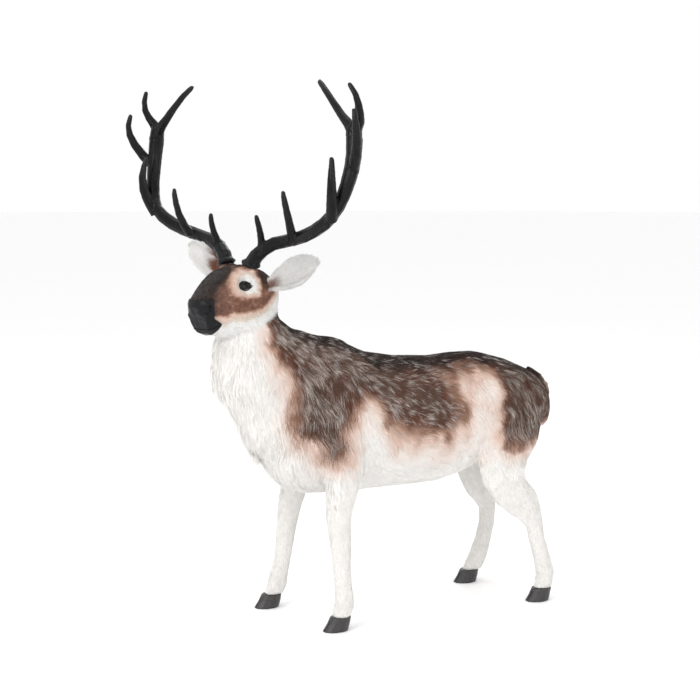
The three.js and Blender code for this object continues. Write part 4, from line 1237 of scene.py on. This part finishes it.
def along_branches(points, side):
    """Each point's offset from the nearest branch's middle line, the distance along it, and
    how near it is to the branch's tip."""
    best = np.full(len(points), 1e9)
    offset = np.zeros_like(points)
    reach, tip = np.zeros(len(points)), np.zeros(len(points))
    for number, line in enumerate([BEAM, *TINES]):
        path = np.array([(side * out, -ahead, up) for out, ahead, up in line]) * MM
        path = from_head(path + BURR_IN_HEAD * [side, 1, 1])
        lengths = np.linalg.norm(np.diff(path, axis=0), axis=1)
        total = lengths.sum()
        start = 0.0
        for a, b, length in zip(path, path[1:], lengths):
            t = np.clip((points - a) @ (b - a) / length**2, 0, 1)
            foot = a + (b - a) * t[:, None]
            gap = np.linalg.norm(points - foot, axis=1) + (0 if number == 0 else -1.5 * MM)
            near = gap < best
            best[near] = gap[near]
            offset[near] = (points - foot)[near]
            reach[near] = (start + t * length + 0.4 * number)[near]
            tip[near] = ((start + t * length) / total if number else 0 * t)[near]
            start += length
    return offset, reach, tip


def build_antler(name, side, settings, finish):
    mesh = remeshed_nodes([f"antler_{name}"], 2.2 * MM, 30)
    points, triangles = arrays_of(mesh)
    offset, reach, tip = along_branches(points, side)
    drift = np.column_stack([reach * 0.09, reach * 0.05, reach * 0.03])
    groove = ripple(offset + drift, 7.5 * MM, 81) + 0.35 * ripple(offset + drift * 1.7, 4 * MM, 82)
    burr = from_head(BURR_IN_HEAD * [side, 1, 1])
    near_burr = smoothstep(34 * MM, 12 * MM, np.linalg.norm(points - burr, axis=1))
    pearls = np.maximum(ripple(points, 6 * MM, 83), 0)
    broad = smoothstep(burr[2] + 120 * MM, burr[2] + 220 * MM, points[:, 2]) * (1 - smoothstep(0.0, 0.4, tip))
    swell = settings.groove * groove * (1 - 0.75 * smoothstep(0.55, 1.0, tip)) * (1 - 0.6 * near_burr)
    swell += (1.2 + 1.6 * broad) * MM * (1 - 0.7 * near_burr)
    swell += 2.2 * MM * pearls * near_burr + 0.4 * MM * np.maximum(ripple(points, 9 * MM, 84), 0)
    lean = HEAD_TURN @ np.array([side * math.sin(PEDICLE_LEAN), 0, math.cos(PEDICLE_LEAN)])
    clear = smoothstep(0.4 * MM, 3 * MM, (points - burr) @ lean + 6 * MM)
    normals = normals_of(points, triangles)
    points = points + normals * (swell * clear)[:, None]
    put_points(mesh, points)
    tint_value(mesh, np.clip(0.5 + 0.5 * groove + 0.8 * tip**3, 0, 2), "ridge")
    antler = new_object(f"antler_{name}_resin", mesh, finish)
    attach(antler, f"antler_{name}")
    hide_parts(f"antler_{name}")


# ------------------------------------------------------------------ hooves


def build_hoof(leg, finish):
    node = f"hoof_{leg}"
    mesh = remeshed_nodes([node], 1.6 * MM, 10)
    points, triangles = arrays_of(mesh)
    low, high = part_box(node)
    centre = np.array((low + high) / 2)
    normals = normals_of(points, triangles)
    height = (points[:, 2] - low.z) / (high.z - low.z)
    sideways = smoothstep(0.5, 0.2, np.abs(normals[:, 2])) * smoothstep(0.03, 0.15, height)
    outer = smoothstep(4 * MM, 10 * MM, np.abs(points[:, 0] - centre[0]))
    rings = np.sin(points[:, 2] / MM * 1.15 + 1.2 * ripple(points, 14 * MM, 91))
    swell = 0.35 * MM * rings + 0.5 * MM * ripple(points, 7 * MM, 92)
    points = points + normals * (swell * sideways * np.maximum(outer, 0.35))[:, None]
    points[:, 2] = np.maximum(points[:, 2], 0)
    put_points(mesh, points)
    hoof = new_object(f"hoof_{leg}_horn", mesh, finish)
    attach(hoof, "body")
    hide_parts(node)


# ------------------------------------------------------------------ face

NOSE_NODES = ["head_fur", "head_form", "muzzle", "lower_lip"]
NOSE_NODES += [f"{name}_{side}" for name in ("eye", "eyelid") for side in SIDES]
MOUTH = np.array([0, -126, 767.0])  # the middle of the mouth's line, in the head's frame
MOUTH_WAY = (0, -0.3, 1)


def sliced(mesh, planes, wanted):
    """Cuts a mesh along planes given in the head's frame, and keeps the faces that are wanted."""
    work = bmesh.new()
    work.from_mesh(mesh)
    for point, way in planes:
        geometry = work.verts[:] + work.edges[:] + work.faces[:]
        place = Vector(from_head(np.array(point, float) * MM))
        normal = Vector(HEAD_TURN @ np.array(way))
        bmesh.ops.bisect_plane(work, geom=geometry, plane_co=place, plane_no=normal)
    middles = np.array([face.calc_center_median() for face in work.faces])
    keep = wanted(to_head(middles))
    bmesh.ops.delete(work, geom=[f for f, k in zip(work.faces, keep) if not k], context="FACES")
    work.to_mesh(mesh)
    work.free()
    return mesh


def above_mouth(local):
    way = unit(np.array(MOUTH_WAY, float))
    return (local / MM - MOUTH) @ way


def nose_shape(wanted):
    """A moulded shell over the part of the nose that is wanted."""
    mesh = remeshed_nodes(NOSE_NODES, 1.7 * MM, 60)
    points, triangles = arrays_of(mesh)
    gap = np.linalg.norm(head_places(points) - [27, -137, 811], axis=1)
    near = smoothstep(15, 10, gap)[:, None]
    for _ in range(8):
        points += near * (evened(points, edges_of(mesh), 14, 0.5, 0.5) - points)
    put_points(mesh, points + normals_of(points, triangles) * 0.8 * MM)
    planes = [
        ((0, MUZZLE_REAR, 800), (0, 1, 0)),
        ((0, -120, MUZZLE_TOP), (0, 0, 1)),
        ((0, MUZZLE_REAR, 794), (0, 0.51, 0.86)),
        ((0, -93, 780), (0, 1, 0)),
        ((0, -91, 781), (0, 1, -0.55)),
        (MOUTH + [0, 0, 0.7], MOUTH_WAY),
        (MOUTH - [0, 0, 0.7], MOUTH_WAY),
    ]
    return sliced(mesh, planes, lambda local: on_muzzle(local) & wanted(local))


def dented(points, side, depth):
    """Presses a comma-shaped nostril into one side of the muzzle."""
    local = to_head(points)
    path = np.array([(37, -129, 825), (39, -127, 817), (38, -128, 809), (33, -134, 806)]) * MM * [side, 1, 1]
    sizes = np.array([2.0, 3.6, 4.6, 3.4]) * MM
    press = np.zeros(len(points))
    for a, b, size in zip(path, path[1:], sizes[1:]):
        t = np.clip((local - a) @ (b - a) / ((b - a) @ (b - a)), 0, 1)
        gap = np.linalg.norm(local - a - (b - a) * t[:, None], axis=1)
        press = np.maximum(press, np.exp(-((gap / size) ** 2)))
    rim = np.exp(-(((press - 0.25) / 0.14) ** 2)) * (press > 0.03)
    inward = unit(np.array([0, -95, 803]) * MM - local)
    return from_head(local + inward * (depth * press - 1.3 * MM * rim)[:, None])


def mouldings(points):
    """The nose pad's rounded lower edge, the groove down its middle and fine wrinkles."""
    local = to_head(points) / MM
    out, y, z = local.T
    front = smoothstep(-122, -132, y)
    groove = np.exp(-((out / 1.7) ** 2)) * smoothstep(826, 812, z) * front
    lip = smoothstep(806, 792, z) * front
    bead = np.exp(-(((z - 834) / 3.0) ** 2)) * smoothstep(-119, -124, y)
    wrinkle = 0.35 * ripple(points, 5 * MM, 95) + 0.6 * ripple(points * [1, 1, 2.5], 17 * MM, 96)
    local[:, 1] += 1.8 * lip + 0.7 * groove - 0.6 * bead + wrinkle * front
    local[:, 0] *= 1 - 0.05 * lip
    return from_head(local * MM)


def shell(name, mesh, node, finish):
    mesh = with_modifier(mesh, "SOLIDIFY", thickness=3.5 * MM, offset=-1.0)
    piece = new_object(name, mesh, finish)
    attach(piece, "body")
    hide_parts(node)


def build_muzzle(settings):
    finish = leather_finish("muzzle_leather", settings.leather)
    cap = nose_shape(lambda local: above_mouth(local) > 0.6)
    points = evened(mouldings(arrays_of(cap)[0]), edges_of(cap), 3, 0.5, 0.5)
    for side in (1, -1):
        points = dented(points, side, settings.nostril)
    put_points(cap, points)
    shell("muzzle_cap", cap, "muzzle", finish)
    chin = nose_shape(lambda local: above_mouth(local) < -0.6)
    points, _ = arrays_of(chin)
    put_points(chin, mouldings(points))
    shell("chin_cap", chin, "lower_lip", finish)


def eye_axes(side):
    """The middle of an eye, the way it looks, its rearward way and its upward way."""
    gaze = HEAD_TURN @ unit(np.array([0.93 * side, -0.30, 0.22]))
    up = unit(np.array([0, 0, 1.0]) - gaze[2] * gaze)
    rear = np.cross(up, gaze)
    if rear @ (HEAD_TURN @ np.array([0, 1.0, 0])) < 0:
        rear = -rear
    return from_head(EYE_IN_HEAD * [side, 1, 1]), gaze, rear, up


def almond(turn, share=1.0):
    """A point of the eye's outline, rearward and up from its middle."""
    back, rise = math.cos(turn), math.sin(turn)
    wide = OPENING[0] * back if back < 0 else OPENING[0] * back + (OPENING[1] - OPENING[0]) * back**5
    tall = OPENING[2] * rise * (1 - 0.3 * max(back, 0) ** 2)
    return share * wide, share * tall


def build_eye(name, side, glass, rim, tree):
    centre, gaze, rear, up = eye_axes(side)
    hit, _, _, _ = tree.ray_cast(Vector(centre + gaze * 0.06), Vector(-gaze))
    seat = np.array(hit) - gaze * 0.5 * MM
    rings, around = 22, 64
    points, iris = [], []
    for i in range(rings + 1):
        angle = math.pi * i / rings
        share = math.sin(angle) ** 0.9
        depth = (5.2 if angle < math.pi / 2 else 9) * MM * math.cos(angle)
        for k in range(around):
            x, y = almond(2 * math.pi * k / around, share)
            sag = (1.0 if x > 0 else -1.2) * MM * (x / OPENING[1]) ** 2
            points.append(seat + rear * x + up * y + gaze * (depth + sag))
            iris.append(math.exp(-(((angle - 0.62) / 0.2) ** 2)) if angle < math.pi / 2 else 0)
    faces = []
    for i in range(rings):
        for k in range(around):
            n = (k + 1) % around
            faces.append((i * around + k, i * around + n, (i + 1) * around + n, (i + 1) * around + k))
    mesh = mesh_from(points, faces)
    tint_value(mesh, np.array(iris)[: len(mesh.vertices)], "iris")
    ball = new_object(f"eye_{name}_glass", mesh, glass)
    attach(ball, "body")
    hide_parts(f"eye_{name}")
    lid = new_object(f"eyelid_{name}_rim", lid_mesh(seat, gaze, rear, up, tree), rim)
    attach(lid, "body")
    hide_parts(f"eyelid_{name}")


def lid_mesh(seat, gaze, rear, up, tree):
    """A soft rim round the almond opening that rests on the skin."""
    steps, sides = 80, 12
    line, sizes = [], []
    for i in range(steps):
        turn = 2 * math.pi * i / steps
        x, y = almond(turn, 1.02)
        place = seat + rear * x + up * y
        hit, _, _, _ = tree.ray_cast(Vector(place + gaze * 0.04), Vector(-gaze))
        line.append(np.array(hit) if hit else place)
        upper = max(math.sin(turn), 0)
        sizes.append((1.5 + 0.8 * upper - 0.6 * max(math.cos(turn), 0) ** 6) * MM)
    line = np.array(line)
    ahead = unit(np.roll(line, -1, axis=0) - np.roll(line, 1, axis=0))
    points, faces = [], []
    for i in range(steps):
        beside = unit(np.cross(ahead[i], gaze))
        for k in range(sides):
            angle = 2 * math.pi * k / sides
            points.append(line[i] + sizes[i] * (gaze * math.cos(angle) + beside * 1.2 * math.sin(angle)))
    for i in range(steps):
        for k in range(sides):
            a, b = i * sides + k, i * sides + (k + 1) % sides
            c, d = ((i + 1) % steps) * sides + (k + 1) % sides, ((i + 1) % steps) * sides + k
            faces.append((a, b, c, d))
    return mesh_from(points, faces)


# ------------------------------------------------------------------ stage

CAMERA_PLACE = (3.5851, -1.9095, 1.18)
CAMERA_TURN = (math.radians(90 - 6.95), 0, math.radians(63))


# Name, place, the place it faces, width in metres and power in watts.
LIGHTS = (
    ("key", (1.6, -4.0, 3.0), (0, 0, 0.7), 2.2, 85),
    ("fill", (4.6, 0.2, 2.0), (0, 0, 0.7), 2.4, 30),
    ("top", (-0.3, 0.3, 4.2), (0, 0, 0.5), 2.6, 30),
    ("rim", (-3.0, 2.6, 2.6), (0, 0, 0.7), 1.8, 25),
)
FLOOR_RADIUS = 30
FLOOR_DROP = 0.0005  # so that the soles don't share the floor's plane


def build_stage(settings):
    """A wide round pale floor."""
    turns = [math.pi * i / 48 for i in range(96)]
    ring = [(FLOOR_RADIUS * math.cos(t), FLOOR_RADIUS * math.sin(t), -FLOOR_DROP) for t in turns]
    new_object("studio_floor", mesh_from(ring, [range(96)]), floor_finish(settings.floor))


def add_light(name, place, target, size, power):
    lamp = bpy.data.lights.new(name, "AREA")
    lamp.energy, lamp.size = power, size
    obj = bpy.data.objects.new(name, lamp)
    bpy.context.scene.collection.objects.link(obj)
    obj.location = place
    obj.rotation_euler = (Vector(target) - Vector(place)).to_track_quat("-Z", "Y").to_euler()


def build_lights_and_camera(settings):
    scene = bpy.context.scene
    for row in LIGHTS:
        add_light(*row)
    world = bpy.data.worlds.new("studio")
    world.use_nodes = True
    world.node_tree.nodes["Background"].inputs[0].default_value = (1, 1, 1, 1)
    world.node_tree.nodes["Background"].inputs[1].default_value = 1.0
    scene.world = world
    lens = bpy.data.cameras.new("camera")
    lens.sensor_width, lens.lens = 36, settings.lens
    camera = bpy.data.objects.new("camera", lens)
    camera.location, camera.rotation_euler = CAMERA_PLACE, CAMERA_TURN
    scene.collection.objects.link(camera)
    scene.camera = camera
    scene.view_settings.view_transform = "Standard"


# ------------------------------------------------------------------ operators


class REINDEER_OT_inner_frame(bpy.types.Operator):
    """Finish the steel frame, foam forms and sockets that stay as they are"""

    bl_idname = "reindeer.inner_frame"
    bl_label = "Frame and forms"

    def execute(self, context):
        steel, foam, plastic = steel_finish(), foam_finish(), plastic_finish()
        looks = {"frame_steel": steel, "foam": foam, "socket_plastic": plastic}
        for part in frame["record"]["subparts"]:
            look = looks.get(part["material_slot"])
            if look:
                mesh = frame["nodes"][part["node"]].data
                mesh.materials.clear()
                mesh.materials.append(look)
        return {"FINISHED"}


class REINDEER_OT_coat(bpy.types.Operator):
    """Fit the backing over the forms and plant the fur on the body, mane, legs and head"""

    bl_idname = "reindeer.coat"
    bl_label = "Coat"

    def execute(self, context):
        settings = context.scene.reindeer_coat
        PILES.update(dark_fur=pile_finish("dark_pile"), white_fur=pile_finish("white_pile"))
        surface = Surface(build_skin(settings.voxel))
        build_coat(surface, settings)
        build_head_pile(surface, settings)
        return {"FINISHED"}


class REINDEER_OT_ears_and_tail(bpy.types.Operator):
    """Cover the ears and the tail"""

    bl_idname = "reindeer.ears_and_tail"
    bl_label = "Ears and tail"

    def execute(self, context):
        build_ear("left", 1)
        build_ear("right", -1)
        build_tail()
        return {"FINISHED"}


class REINDEER_OT_antlers(bpy.types.Operator):
    """Groove and lacquer both antlers"""

    bl_idname = "reindeer.antlers"
    bl_label = "Antlers"

    def execute(self, context):
        settings = context.scene.reindeer_antlers
        finish = antler_finish(settings.dark, settings.worn)
        build_antler("left", 1, settings, finish)
        build_antler("right", -1, settings, finish)
        return {"FINISHED"}


class REINDEER_OT_hooves(bpy.types.Operator):
    """Shape the cloven hooves"""

    bl_idname = "reindeer.hooves"
    bl_label = "Hooves"

    def execute(self, context):
        finish = hoof_finish()
        for leg in ("front_left", "front_right", "hind_left", "hind_right"):
            build_hoof(leg, finish)
        return {"FINISHED"}


class REINDEER_OT_face(bpy.types.Operator):
    """Mould the muzzle and chin and set the glass eyes in their lids"""

    bl_idname = "reindeer.face"
    bl_label = "Face"

    def execute(self, context):
        settings = context.scene.reindeer_face
        build_muzzle(settings)
        glass, rim = eye_finish(), leather_finish("eyelid_rubber", settings.leather)
        points, triangles = arrays_of(bpy.data.objects["fur_backing"].data)
        tree = BVHTree.FromPolygons(points.tolist(), triangles.tolist())
        build_eye("left", 1, glass, rim, tree)
        build_eye("right", -1, glass, rim, tree)
        return {"FINISHED"}


class REINDEER_OT_stage(bpy.types.Operator):
    """Lay the floor and set up the lights and the camera"""

    bl_idname = "reindeer.stage"
    bl_label = "Studio"

    def execute(self, context):
        settings = context.scene.reindeer_stage
        build_stage(settings)
        build_lights_and_camera(settings)
        return {"FINISHED"}


OPERATORS = (
    REINDEER_OT_inner_frame,
    REINDEER_OT_coat,
    REINDEER_OT_ears_and_tail,
    REINDEER_OT_antlers,
    REINDEER_OT_hooves,
    REINDEER_OT_face,
    REINDEER_OT_stage,
)


class REINDEER_PT_panel(bpy.types.Panel):
    """Lists the pieces"""

    bl_idname = "REINDEER_PT_panel"
    bl_label = "Standing Reindeer"
    bl_space_type = "VIEW_3D"
    bl_region_type = "UI"
    bl_category = "Reindeer"

    def draw(self, context):
        for operator in OPERATORS:
            self.layout.operator(operator.bl_idname)


SETTINGS = {
    "reindeer_coat": CoatSettings,
    "reindeer_antlers": AntlerSettings,
    "reindeer_face": FaceSettings,
    "reindeer_stage": StageSettings,
}


def register():
    for cls in (*SETTINGS.values(), *OPERATORS, REINDEER_PT_panel):
        bpy.utils.register_class(cls)
    for name, cls in SETTINGS.items():
        setattr(bpy.types.Scene, name, bpy.props.PointerProperty(type=cls))


def unregister():
    for name in SETTINGS:
        delattr(bpy.types.Scene, name)
    for cls in reversed((*SETTINGS.values(), *OPERATORS, REINDEER_PT_panel)):
        bpy.utils.unregister_class(cls)


def main():
    register()
    for operator in OPERATORS:
        group, name = operator.bl_idname.split(".")
        getattr(getattr(bpy.ops, group), name)()


if __name__ == "__main__":
    main()
